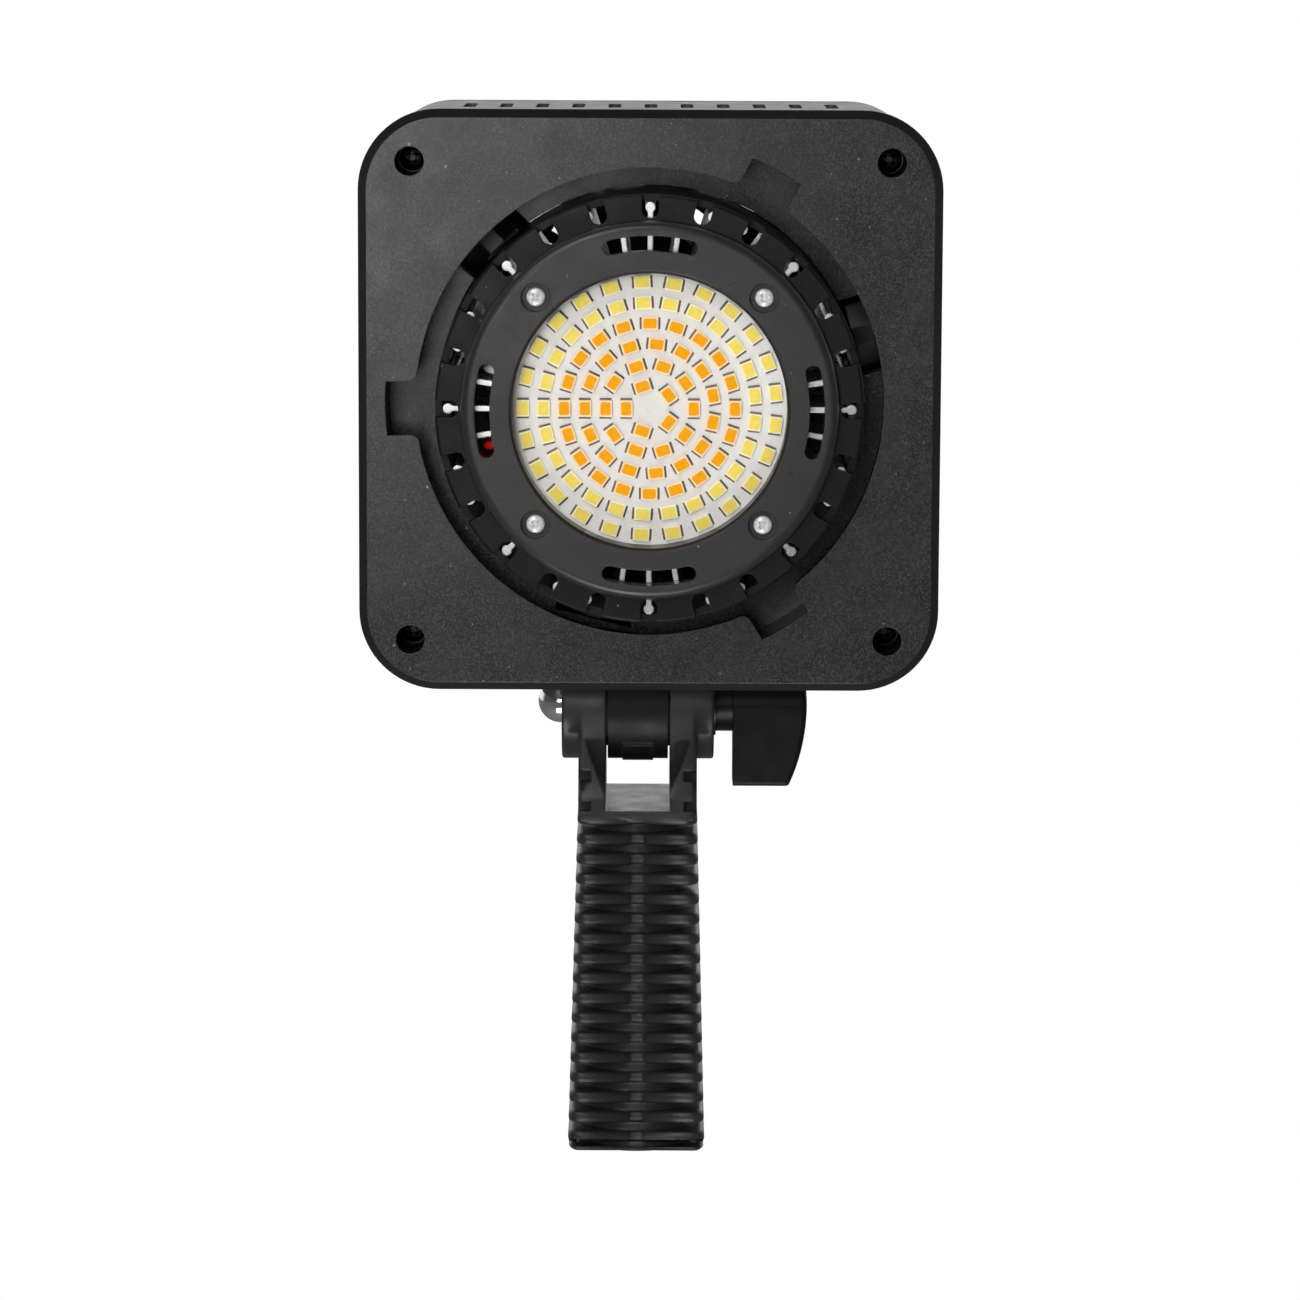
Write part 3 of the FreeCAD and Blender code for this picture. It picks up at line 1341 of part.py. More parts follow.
def casing_block(start, end):
    """The filled outer shape of the casing between two depths, to trim what grows from its corners."""
    body = new_body("casing_block")
    sketch = new_sketch(body, "XZ_Plane", -start)
    rounded_square(sketch, housing_half * 2, housing_half * 2, housing_corner)
    pad(body, sketch, end - start)
    return body


def vent_sketch(body, role, height):
    """The left vent of the top wall."""
    sketch = new_sketch(body, role, height)
    first = d.vent_pitch * (-(VENT_COUNT - 1) / 2)
    rounded_square(sketch, d.vent_width, d.vent_length, d.vent_width / 2 - d.fixed_gap,
                   first, d.vent_start + d.vent_length / 2)
    return sketch


def side_vents():
    """Tools for the same vents in the two side walls."""
    tools = []
    first = d.vent_pitch * (-(VENT_COUNT - 1) / 2)
    for index in range(VENT_COUNT):
        z = first + d.vent_pitch * index
        span = (d.vent_start, d.vent_start + d.vent_length)
        left = (-housing_half - d.overrun, -inner_half + d.fixed_gap)
        right = (inner_half - d.fixed_gap, housing_half + d.overrun)
        tools += [block(wall, span, centred(d.vent_width, z)) for wall in (left, right)]
    return tools


def post(x, z, start):
    """A corner screw post that starts at a depth."""
    return rod("y", d.post_radius, (start, start + d.post_length), x, z)


def driver_spots():
    """Where the driver board is screwed down, as X and Y."""
    across = d.driver_width / 2 - d.driver_screw_inset
    near = d.driver_front + d.driver_screw_inset
    far = driver_back - d.driver_screw_inset
    return [(across * i, y) for i in (-1, 1) for y in (near, far)]


def control_spots():
    """Where the control board is screwed to the rear cover, as X and Z."""
    across = control_width / 2 - d.control_post_inset_x
    rise = d.control_height / 2 - d.control_post_inset_z
    return [(across * i, dial_z + rise * k) for i in (-1, 1) for k in (-1, 1)]


def fan_spots():
    """The screw places of the fan, as X and Z."""
    half = d.fan_screw_pitch / 2
    return [(half * i, d.grille_height + half * k) for i in (-1, 1) for k in (-1, 1)]


def make_rear_cover():
    """The back of the head: fan grille, display opening and holes for the controls."""
    body = new_body("cover")
    outer = new_sketch(body, "XZ_Plane", -cover_front)
    rounded_square(outer, housing_half * 2, housing_half * 2, housing_corner)
    pad(body, outer, d.cover_depth)
    finish_edges(body, "Fillet", d.cover_edge, lambda edge: lies_at(edge, "y", cover_back))
    inner = new_sketch(body, "XZ_Plane", -cover_front)
    rounded_square(inner, inner_half * 2, inner_half * 2, housing_corner - d.housing_wall)
    pocket(body, inner, d.cover_depth - d.cover_wall)
    grille = new_body("grille")
    bands = new_sketch(grille, "XZ_Plane", -cover_inner + d.overrun)
    for ring in range(GRILLE_RINGS):
        near = d.grille_inner_radius + (d.grille_band + d.grille_bar) * ring
        half_degrees = 180.0 / SPOKE_COUNT - math.degrees(float(d.grille_spoke) / 2 / float(near))
        annular_sector(bands, near, near + d.grille_band, half_degrees)
    polar_pattern(grille, pad(grille, bands, d.cover_wall + d.overrun * 2), bands, SPOKE_COUNT)
    place(grille, 0, 0, d.grille_height)
    through = (cover_inner - d.overrun, cover_back + d.overrun)
    posts = [rod("y", d.post_radius, (cover_front, cover_inner), x, z) for x, z in corner_spots]
    posts += [rod("y", d.control_post_radius, (control_back, cover_inner), x, z) for x, z in control_spots()]
    trim = casing_block(cover_front, cover_inner)
    tools = [grille]
    shank_span = (cover_front - d.overrun, cover_back + d.overrun)
    head_span = (cover_back - d.corner_head, cover_back + d.overrun)
    board_span = (control_back - d.overrun, control_front + d.small_shank + d.fixed_gap)
    for x, z in corner_spots:
        tools.append(rod("y", d.corner_shank_radius + d.screw_gap, shank_span, x, z))
        tools.append(rod("y", d.corner_head_radius + d.free_gap, head_span, x, z))
    tools += [rod("y", d.small_shank_radius + d.fixed_gap, board_span, x, z) for x, z in control_spots()]
    tools += [rod("y", d.fan_shank_radius + d.screw_gap, through, x, z) for x, z in fan_spots()]
    mouth = block(centred(d.window_width - d.display_border), through,
                  centred(d.window_height - d.display_border, dial_z))
    seat = block(centred(d.window_width + d.screw_gap), (cover_back - d.window_seat, cover_back + d.overrun),
                 centred(d.window_height + d.screw_gap, dial_z))
    tools += [mouth, seat]
    for side in (-1, 1):
        tools.append(rod("y", d.bushing_radius + d.screw_gap, through, dial_x * side, dial_z))
        tools.append(rod("y", d.button_radius + d.screw_gap, through, button_x * side, dial_z))
    tools.append(block(centred(d.rocker_frame_width + d.screw_gap * 2, -d.socket_spread), through,
                       centred(d.rocker_frame_height + d.screw_gap * 2, socket_z)))
    tools.append(rod("y", d.jack_radius + d.screw_gap, through, d.socket_spread, socket_z))
    finish("rear_cover", cut(fuse(body, common(fuse(*posts), trim)), *tools), in_head=True)
    spots = [(x, cover_back, z) for x, z in corner_spots]
    make_screws("rear_cover_screws", spots, BACKWARD, d.corner_head_radius, d.corner_head,
                d.corner_shank_radius, d.corner_shank)


def make_fan():
    """The fan's frame and its rotor."""
    z = d.grille_height
    frame_body = new_body("frame")
    square = new_sketch(frame_body, "XZ_Plane", -fan_front)
    rounded_square(square, d.fan_width, d.fan_width, d.fan_corner)
    pad(frame_body, square, d.fan_depth)
    bore = new_sketch(frame_body, "XZ_Plane", -fan_front)
    circle(bore, d.fan_bore_radius)
    pocket(frame_body, bore, d.fan_depth)
    holes = new_sketch(frame_body, "XZ_Plane", -fan_front)
    half = d.fan_screw_pitch / 2
    for i, k in ((-1, -1), (1, -1), (1, 1), (-1, 1)):
        circle(holes, d.fan_shank_radius + d.fixed_gap, half * i, half * k)
    pocket(frame_body, holes, d.fan_depth)
    place(frame_body, 0, 0, z)
    plate_span = (fan_front, fan_front + d.fan_plate)
    bearing_end = fan_front + d.fan_bearing_length
    disc = rod("y", d.fan_hub_radius - d.free_gap, plate_span, 0, z)
    struts = [spoke(degrees, 0, d.fan_bore_radius + d.free_gap, d.fan_strut, plate_span, z)
              for degrees in STRUT_DEGREES]
    bearing = rod("y", d.fan_bearing_radius, (fan_front, bearing_end), 0, z)
    hole_span = (fan_front + d.free_gap, bearing_end + d.overrun)
    shaft_hole = rod("y", d.fan_shaft_radius + d.running_gap, hole_span, 0, z)
    finish("fan_frame", cut(fuse(frame_body, disc, *struts, bearing), shaft_hole), in_head=True)
    hub_start = plate_span[1] + d.free_gap * 2
    hub_end = hub_start + d.fan_hub_depth
    hub = rod("y", d.fan_hub_radius, (hub_start, hub_end), 0, z)
    hub = rounded(hub, d.knob_edge, lambda edge: lies_at(edge, "y", hub_end))
    hollow_span = (hub_start - d.overrun, hub_end - d.fan_hub_wall)
    hollow = rod("y", d.fan_hub_radius - d.fan_hub_wall, hollow_span, 0, z)
    shaft = rod("y", d.fan_shaft_radius, (fan_front + d.free_gap * 2, hub_end - d.fan_hub_wall), 0, z)
    blade_middle = (hub_start + hub_end) / 2
    near = d.fan_hub_radius - d.fan_hub_wall / 2
    far = d.fan_bore_radius - d.fan_tip_gap
    blades = []
    for index in range(BLADE_COUNT):
        chord, thick = float(d.blade_chord), float(d.blade_thickness)
        blade_corner = FreeCAD.Vector(float(near), -thick / 2, -chord / 2)
        blade = Part.makeBox(float(far - near), thick, chord, blade_corner)
        blade.rotate(FreeCAD.Vector(), FreeCAD.Vector(1, 0, 0), BLADE_DEGREES)
        blade.translate(FreeCAD.Vector(0, float(blade_middle), 0))
        blade.rotate(FreeCAD.Vector(), FreeCAD.Vector(0, 1, 0), 180.0 * (2 * index + 1) / BLADE_COUNT)
        blade.translate(FreeCAD.Vector(0, 0, float(z)))
        blades.append(shaped(blade))
    finish("fan_rotor", fuse(cut(hub, hollow), shaft, *blades), in_head=True)
    spots = [(x, cover_back + d.fan_head, spot_z) for x, spot_z in fan_spots()]
    make_screws("fan_screws", spots, BACKWARD, d.fan_head_radius, d.fan_head, d.fan_shank_radius, d.fan_shank)


def make_driver():
    """The driver board and the larger parts on it."""
    board = block(centred(d.driver_width), (d.driver_front, driver_back), (driver_z, driver_top))
    hole_span = (driver_z - d.overrun, driver_top + d.overrun)
    holes = [rod("z", d.small_shank_radius + d.screw_gap, hole_span, x, y) for x, y in driver_spots()]
    finish("driver_board", cut(board, *holes), in_head=True)
    spots = [(x, y, driver_top + d.small_head) for x, y in driver_spots()]
    make_screws("driver_board_screws", spots, DOWNWARD, d.small_head_radius, d.small_head,
                d.small_shank_radius, d.small_shank)


def make_driver_parts():
    """The capacitors, the inductor and the terminals of the driver board."""
    cans = []
    for index in range(2):
        span = (driver_top, driver_top + d.capacitor_height)
        x = d.capacitor_place + d.capacitor_pitch * index
        can = rod("z", d.capacitor_radius, span, x, part_row)
        cans.append(rounded(can, d.ear_edge, lambda edge: lies_at(edge, "z", span[1])))
    finish("driver_capacitors", group(cans), in_head=True)
    base_top = driver_top + d.inductor_base
    base = rod("z", d.inductor_base_radius, (driver_top, base_top), d.inductor_place, part_row)
    winding = document.addObject("Part::Torus", "winding")
    bind(winding, Radius1=d.inductor_radius, Radius2=d.inductor_winding)
    place(winding, d.inductor_place, part_row, base_top + d.inductor_winding - d.free_gap)
    finish("driver_inductor", fuse(base, winding), in_head=True)
    terminal_top = driver_top + d.terminal_height
    middle = lead_track_end + d.terminal_pitch / 2
    rise = (driver_top, terminal_top)
    body = block(centred(d.terminal_width, lead_x), centred(d.terminal_length, middle), rise)
    hole_span = (terminal_top - d.terminal_hole_depth, terminal_top + d.overrun)
    holes = [rod("z", d.terminal_hole_radius, hole_span, lead_x, y) for y in (lead_track_end, white_lead_end)]
    finish("terminal_block", cut(body, *holes), in_head=True)


# The controls on the back

def make_control_board():
    """The board behind the controls, with its screws, encoders, switches and display."""
    span = (control_front, control_back)
    board = block(centred(control_width), span, centred(d.control_height, dial_z))
    hole_span = (control_front - d.overrun, control_back + d.overrun)
    holes = [rod("y", d.small_shank_radius + d.screw_gap, hole_span, x, z) for x, z in control_spots()]
    finish("control_board", cut(board, *holes), in_head=True)
    spots = [(x, control_front - d.small_head, z) for x, z in control_spots()]
    make_screws("control_board_screws", spots, AHEAD, d.small_head_radius, d.small_head,
                d.small_shank_radius, d.small_shank)
    display = block(centred(d.display_width), (control_back, cover_inner - d.fixed_gap),
                    centred(d.display_height, dial_z))
    finish("display_module", display, in_head=True)
    window_span = (cover_back - d.window_seat, cover_back - d.window_seat + d.window_thickness)
    window = block(centred(d.window_width), window_span, centred(d.window_height, dial_z))
    finish("display_window", window, in_head=True)
    encoders, switches = [], []
    for side in (-1, 1):
        x = dial_x * side
        case_end = control_back + d.encoder_depth
        case = block(centred(d.encoder_width, x), (control_back, case_end), centred(d.encoder_width, dial_z))
        bushing = rod("y", d.bushing_radius, (case_end, case_end + d.bushing_reach), x, dial_z)
        bore_span = (control_back + d.free_gap, case_end + d.bushing_reach + d.overrun)
        bore = rod("y", d.dial_shaft_radius + d.running_gap, bore_span, x, dial_z)
        encoders.append(cut(fuse(case, bushing), bore))
        switch_span = (control_back, control_back + d.switch_depth)
        switches.append(block(centred(d.switch_width, button_x * side), switch_span,
                              centred(d.switch_width, dial_z)))
    finish("encoders", group(encoders), in_head=True)
    finish("tact_switches", group(switches), in_head=True)


def make_dial(name, x):
    """A fluted dial and the encoder shaft that it sits on."""
    start = cover_back + d.dial_gap
    end = start + d.dial_height
    disc = rod("y", d.dial_radius, (start, end), x, dial_z)
    disc = rounded(disc, d.knob_edge, lambda edge: lies_at(edge, "y", end))
    flutes = []
    for index in range(DIAL_FLUTES):
        flute_x, flute_z = polar(d.dial_radius + d.dial_flute_radius / 2, 360.0 * index / DIAL_FLUTES)
        flutes.append(rod("y", d.dial_flute_radius, (start - d.overrun, end + d.overrun), x + flute_x,
                          flute_z + dial_z))
    shaft_end = start + d.dial_bore_depth
    bore = rod("y", d.dial_shaft_radius + d.fixed_gap, (start - d.overrun, shaft_end), x, dial_z)
    finish(f"{name}_dial", cut(disc, bore, *flutes), in_head=True)
    shaft = rod("y", d.dial_shaft_radius, (control_back + d.free_gap * 2, shaft_end), x, dial_z)
    finish(f"{name}_shaft", shaft, in_head=True)


def make_button(node, x):
    """A round button with a flange that holds it behind the cover."""
    inner = control_back + d.switch_depth + d.button_gap
    outer = cover_back + d.button_stand
    stem = rod("y", d.button_radius, (inner, outer), x, dial_z)
    stem = rounded(stem, d.ear_edge, lambda edge: lies_at(edge, "y", outer))
    flange_end = cover_inner - d.running_gap
    flange_radius = d.button_radius + d.button_flange
    flange = rod("y", flange_radius, (flange_end - d.button_flange_depth, flange_end), x, dial_z)
    finish(node, fuse(stem, flange), in_head=True)


def make_rocker():
    """The frame of the power switch and its rocker, which rests on its off side."""
    x = -d.socket_spread
    case = block(centred(d.rocker_frame_width, x), (cover_back - d.rocker_frame_depth, cover_back),
                 centred(d.rocker_frame_height, socket_z))
    flange = block(centred(d.rocker_flange_width, x), (cover_back, cover_back + d.rocker_flange),
                   centred(d.rocker_flange_height, socket_z))
    mouth = block(centred(d.rocker_mouth_width, x), (rocker_floor, cover_back + d.rocker_flange + d.overrun),
                  centred(d.rocker_mouth_height, socket_z))
    pin_length = d.rocker_height + d.rocker_pin_length * 2
    hole_span = centred(pin_length + d.free_gap, socket_z)
    pin_hole = rod("z", d.rocker_pin_radius + d.running_gap, hole_span, x, rocker_y)
    finish("rocker_frame", cut(fuse(case, flange), mouth, pin_hole), in_head=True)
    body = new_body("rocker")
    sketch = new_sketch(body, "XY_Plane", -d.rocker_height / 2)
    half = d.rocker_width / 2
    face_half = half - d.rocker_dish
    outline(sketch, [
        (-half / 2, -d.rocker_below), (half / 2, -d.rocker_below), (half, 0), (face_half, d.rocker_above),
        (0, d.rocker_above - d.rocker_dish), (-face_half, d.rocker_above), (-half, 0),
    ])
    pad(body, sketch, d.rocker_height, inward=False)
    body.Placement.Rotation = FreeCAD.Rotation(FreeCAD.Vector(0, 0, 1), -ROCKER_DEGREES)
    place(body, x, rocker_y, socket_z)
    pins = rod("z", d.rocker_pin_radius, centred(pin_length, socket_z), x, rocker_y)
    finish("power_rocker", fuse(body, pins), in_head=True)


def make_inlet():
    """The round power jack and the nut that holds it."""
    x = d.socket_spread
    face = cover_back + d.jack_flange
    barrel = rod("y", d.jack_radius, (cover_back - d.jack_length, cover_back), x, socket_z)
    flange = rod("y", d.jack_flange_radius, (cover_back, face), x, socket_z)
    bore = rod("y", d.jack_bore_radius, (face - d.jack_bore_depth, face + d.overrun), x, socket_z)
    pin = rod("y", d.jack_pin_radius, (face - d.jack_bore_depth, face - d.jack_pin_recess), x, socket_z)
    finish("inlet_jack", fuse(cut(fuse(barrel, flange), bore), pin), in_head=True)
    nut = hexagon("y", d.jack_nut_across, (cover_inner - d.jack_nut, cover_inner), x, socket_z)
    thread_span = (cover_inner - d.jack_nut - d.overrun, cover_inner + d.overrun)
    thread = rod("y", d.jack_radius + d.fixed_gap, thread_span, x, socket_z)
    finish("inlet_nut", cut(nut, thread), in_head=True)


# Wires

def wire_tube(name, route, radius):
    """A round wire along straight runs joined by tangent arcs."""
    points = [FreeCAD.Vector(*[float(size) for size in point]) for point in route]
    edges = []
    start = points[0]
    for before, turn_point, after in zip(points, points[1:], points[2:]):
        run_in, run_out = turn_point - before, after - turn_point
        half_turn = run_in.getAngle(run_out) / 2
        trim = min(run_in.Length, run_out.Length) * BEND_SHARE
        bend = trim / math.tan(half_turn)
        run_in.normalize()
        run_out.normalize()
        toward_centre = (run_out - run_in).normalize()
        middle = turn_point + toward_centre * (bend / math.cos(half_turn) - bend)
        arc_start, arc_end = turn_point - run_in * trim, turn_point + run_out * trim
        edges.append(Part.LineSegment(start, arc_start).toShape())
        edges.append(Part.Arc(arc_start, middle, arc_end).toShape())
        start = arc_end
        print(f"{name}: bend radius {bend:.2f} mm")
    edges.append(Part.LineSegment(start, points[-1]).toShape())
    path = Part.Wire(edges)
    section = Part.Wire(Part.makeCircle(float(radius), points[0], points[1] - points[0]))
    tube = path.makePipeShell([section], True, False)
    expected = math.pi * float(radius) ** 2 * path.Length
    print(f"{name}: {path.Length:.1f} mm long, volume over section times length {tube.Volume / expected:.4f}")
    return shaped(tube)


def make_leads():
    """The wires of the light, the fan, the controls and the power sockets."""
    hole_floor = driver_top + d.terminal_height - d.terminal_hole_depth
    level = board_front + d.lead_start_gap
    colours = (("red", RED_LEAD_DEGREES, lead_track_end), ("white", WHITE_LEAD_DEGREES, white_lead_end))
    for colour, degrees, far in colours:
        start_x, start_z = polar(d.board_radius, degrees)
        x, z = polar(d.lead_track_radius, degrees)
        route = [(start_x, level, start_z), (x, level, z), (x, far, z), (x, far, hole_floor)]
        node = f"led_lead_{colour}"
        finish(node, wire_tube(node, route, d.lead_radius), in_head=True)
    fan_y = fan_front - d.fan_lead_reach
    fan_x, fan_z = -d.fan_lead_place, -d.fan_lead_height
    fan_route = [(fan_x, fan_front, fan_z), (fan_x, fan_y, fan_z), (fan_x, fan_y, driver_top)]
    finish("fan_lead", wire_tube("fan_lead", fan_route, d.lead_radius), in_head=True)
    control_y = control_front - d.control_lead_reach
    control_x, control_z = d.control_lead_place, -d.control_lead_height
    control_route = [(control_x, control_front, control_z), (control_x, control_y, control_z),
                     (control_x, control_y, driver_top)]
    finish("control_lead", wire_tube("control_lead", control_route, d.lead_radius), in_head=True)
    level = driver_z + d.driver_thickness / 2
    ends = ((-d.socket_spread, cover_back - d.rocker_frame_depth),
            (d.socket_spread, cover_back - d.jack_length))
    power = [rod("y", d.lead_radius, (driver_back, end), x + d.power_lead_pitch / 2 * side, level)
             for x, end in ends for side in (-1, 1)]
    finish("power_leads", group(power), in_head=True)


# Order of making

make_grip()
make_spigot_sleeve()
make_clamp()
make_tilt_hardware()
make_tilt_lever()
make_tilt_foot()
make_front_plate()
make_bayonet_ring()
make_bayonet_springs()
make_lamp_drum()
make_lamp_bezel()
make_light_engine()
make_heat_sink()
make_housing()
make_rear_cover()
make_fan()
make_driver()
make_driver_parts()
make_control_board()
make_dial("brightness", -dial_x)
make_dial("colour", dial_x)
make_button("mode_button", -button_x)
make_button("channel_button", button_x)
make_rocker()
make_inlet()
make_leads()

document.recompute()


def check_document():
    """Stop if any object failed or a piece has no valid shape."""
    failed = [item.Label for item in document.Objects if {"Invalid", "Error"} & set(item.State)]
    if failed:
        raise RuntimeError(f"failed objects: {failed}")
    for item in pieces:
        if item.Shape.isNull() or not item.Shape.isValid():
            raise RuntimeError(f"bad shape: {item.Label}")


check_document()
os.makedirs("parts", exist_ok=True)
for item in pieces:
    item.Shape.exportStep(f"parts/{item.Label}.step")
    print(f"{item.Label}: {len(item.Shape.Solids)} solids, {item.Shape.Volume:.1f} mm3")
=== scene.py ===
import functools
import logging
import math
from dataclasses import dataclass
from enum import Enum
from typing import ClassVar, Iterable, Mapping, Optional, Sequence

import bmesh
import bpy
from mathutils import Matrix, Vector


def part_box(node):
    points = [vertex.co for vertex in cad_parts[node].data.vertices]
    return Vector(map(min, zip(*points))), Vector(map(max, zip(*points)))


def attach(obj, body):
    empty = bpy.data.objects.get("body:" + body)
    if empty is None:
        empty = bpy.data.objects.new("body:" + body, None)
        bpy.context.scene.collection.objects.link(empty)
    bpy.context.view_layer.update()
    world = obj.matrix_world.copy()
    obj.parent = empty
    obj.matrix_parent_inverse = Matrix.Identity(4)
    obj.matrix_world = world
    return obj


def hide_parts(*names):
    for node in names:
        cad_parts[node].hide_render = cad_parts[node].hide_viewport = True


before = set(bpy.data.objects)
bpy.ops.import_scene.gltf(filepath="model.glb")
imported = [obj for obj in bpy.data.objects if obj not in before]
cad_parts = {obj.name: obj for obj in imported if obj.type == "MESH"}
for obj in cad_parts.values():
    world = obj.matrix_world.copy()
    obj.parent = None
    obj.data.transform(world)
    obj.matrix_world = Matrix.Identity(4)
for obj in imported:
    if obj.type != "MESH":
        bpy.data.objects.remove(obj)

# The looks of a compact video light on its tilting grip. Lengths are in metres.

MM = 0.001
ROUND_PROFILE = 0.5
QUARTER_TURN = math.pi / 2
DIAGONAL = math.radians(45.0)
SHARP_BEND = math.radians(35.0)
SEAM = 0.0001 * MM
CORNER_SQUARE = 101.2 * MM
Span = tuple[float, float]
Triple = tuple[float, float, float]
Socket = bpy.types.NodeSocket
Piece = bpy.types.Object
Shape = bmesh.types.BMesh

logging.basicConfig(level=logging.INFO, format="%(message)s")
log = logging.getLogger("video_light")


class Facing(Enum):
    """The way that the outer side of a piece looks, as a turn about the vertical axis."""

    FRONT = 0.0
    BACK = math.pi


def head_centre() -> Vector:
    """Find the centre of the head's front face.

    Returns:
        The middle of the front plate, on its face, in the row frame.
    """
    low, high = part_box("front_plate")
    return Vector(((low.x + high.x) / 2, low.y, (low.z + high.z) / 2))


def node_centre(node: str) -> Vector:
    """Find the middle of a CAD node's box.

    Args:
        node: The name of the node.

    Returns:
        The centre of its box, in the row frame.
    """
    low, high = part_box(node)
    return (low + high) / 2


# Node trees and materials

class NodeTree:
    """A node tree, with short ways to add nodes to it."""

    def __init__(self, tree: bpy.types.NodeTree) -> None:
        """Take a tree and empty it.

        Args:
            tree: The tree to build in.
        """
        self.tree = tree
        self.tree.nodes.clear()

    def add(self, kind: str, **settings: object) -> bpy.types.Node:
        """Add a node.

        Args:
            kind: The node's type.
            settings: Properties to set on it.

        Returns:
            The new node.
        """
        node = self.tree.nodes.new(kind)
        for name, value in settings.items():
            setattr(node, name, value)
        return node

    def link(self, source: Socket, target: Socket) -> None:
        """Join an output to an input."""
        self.tree.links.new(source, target)

    def feed(self, target: Socket, value: object) -> None:
        """Set an input from a socket or a constant.

        Args:
            target: The input to set.
            value: An output to link, or the constant to store.
        """
        if isinstance(value, Socket):
            self.link(value, target)
        else:
            target.default_value = value

    def math(self, operation: str, *values: object, clamp: bool = False) -> Socket:
        """Add a math node.

        Args:
            operation: The operation's name.
            values: Sockets or constants for its inputs.
            clamp: Whether the result stays between 0 and 1.

        Returns:
            The result's socket.
        """
        node = self.add("ShaderNodeMath", operation=operation, use_clamp=clamp)
        for target, value in zip(node.inputs, values):
            self.feed(target, value)
        return node.outputs[0]

    def spread(self, factor: Socket, low: float, high: float, from_low: float, from_high: float) -> Socket:
        """Map a factor to a range.

        Args:
            factor: The value to map.
            low: What the lower end becomes.
            high: What the upper end becomes.
            from_low: The factor's lower end.
            from_high: The factor's upper end.

        Returns:
            The mapped value.
        """
        node = self.add("ShaderNodeMapRange")
        self.link(factor, node.inputs["Value"])
        ends = {"From Min": from_low, "From Max": from_high, "To Min": low, "To Max": high}
        for name, value in ends.items():
            node.inputs[name].default_value = value
        return node.outputs["Result"]


class Shader(NodeTree):
    """A material with one principled surface, with short ways to add its patterns."""

    EDGE_SAMPLES = 4
    EDGE_BEND = (0.02, 0.25)
    COLOUR_INPUTS = (6, 7)
    COLOUR_RESULT = 2

    def __init__(self, name: str) -> None:
        """Start the material.

        Args:
            name: The material's name.
        """
        self.material = bpy.data.materials.new(name)
        self.material.use_nodes = True
        super().__init__(self.material.node_tree)
        self.output = self.add("ShaderNodeOutputMaterial")
        self.surface = self.add("ShaderNodeBsdfPrincipled")
        self.link(self.surface.outputs["BSDF"], self.output.inputs["Surface"])
        self.place = self.add("ShaderNodeTexCoord").outputs["Object"]

    def noise(self, scale: float, detail: float, stretch: Optional[Triple] = None) -> Socket:
        """Add noise on object coordinates.

        Args:
            scale: Features for each metre.
            detail: Octaves of detail.
            stretch: How much finer the noise is along each axis.

        Returns:
            The noise's factor.
        """
        node = self.add("ShaderNodeTexNoise")
        node.inputs["Scale"].default_value = scale
        node.inputs["Detail"].default_value = detail
        source = self.place
        if stretch is not None:
            mapping = self.add("ShaderNodeMapping")
            mapping.inputs["Scale"].default_value = stretch
            self.link(self.place, mapping.inputs["Vector"])
            source = mapping.outputs["Vector"]
        self.link(source, node.inputs["Vector"])
        return node.outputs["Fac"]

    def mix(self, factor: object, first: object, second: object) -> Socket:
        """Blend two colours.

        Args:
            factor: The share of the second colour.
            first: A colour or a socket.
            second: A colour or a socket.

        Returns:
            The blended colour.
        """
        node = self.add("ShaderNodeMix", data_type="RGBA")
        self.feed(node.inputs["Factor"], factor)
        for index, value in zip(self.COLOUR_INPUTS, (first, second)):
            self.feed(node.inputs[index], (*value, 1.0) if isinstance(value, tuple) else value)
        return node.outputs[self.COLOUR_RESULT]

    def edge_mask(self, radius: float) -> tuple[Socket, Socket]:
        """Find the sharp edges of a piece.

        Args:
            radius: The reach of the search.

        Returns:
            The mask and the softened normal.
        """
        bevel = self.add("ShaderNodeBevel", samples=self.EDGE_SAMPLES)
        bevel.inputs["Radius"].default_value = radius
        geometry = self.add("ShaderNodeNewGeometry")
        product = self.add("ShaderNodeVectorMath", operation="DOT_PRODUCT")
        self.link(bevel.outputs["Normal"], product.inputs[0])
        self.link(geometry.outputs["Normal"], product.inputs[1])
        bend = self.math("SUBTRACT", 1.0, product.outputs["Value"])
        return self.spread(bend, 0.0, 1.0, *self.EDGE_BEND), bevel.outputs["Normal"]

    def bump(self, height: Socket, depth: float, normal: Socket) -> Socket:
        """Add a bump.

        Args:
            height: The height's factor.
            depth: The height of a full step, in metres.
            normal: The normal that the bump starts from.

        Returns:
            The bumped normal.
        """
        node = self.add("ShaderNodeBump")
        node.inputs["Distance"].default_value = depth
        self.link(height, node.inputs["Height"])
        self.link(normal, node.inputs["Normal"])
        return node.outputs["Normal"]


@dataclass(frozen=True)
class Texture:
    """Noise at a ratio of a finish's own scale, read between two of its levels."""

    ratio: float
    detail: float
    low: float = 0.3
    high: float = 0.7

    def spread(self, shader: Shader, scale: float, bottom: float, top: float) -> Socket:
        """Map the noise to a range.

        Args:
            shader: The material in the making.
            scale: The finish's scale.
            bottom: What the low level becomes.
            top: What the high level becomes.

        Returns:
            The mapped value.
        """
        noise = shader.noise(scale * self.ratio, self.detail)
        return shader.spread(noise, bottom, top, self.low, self.high)


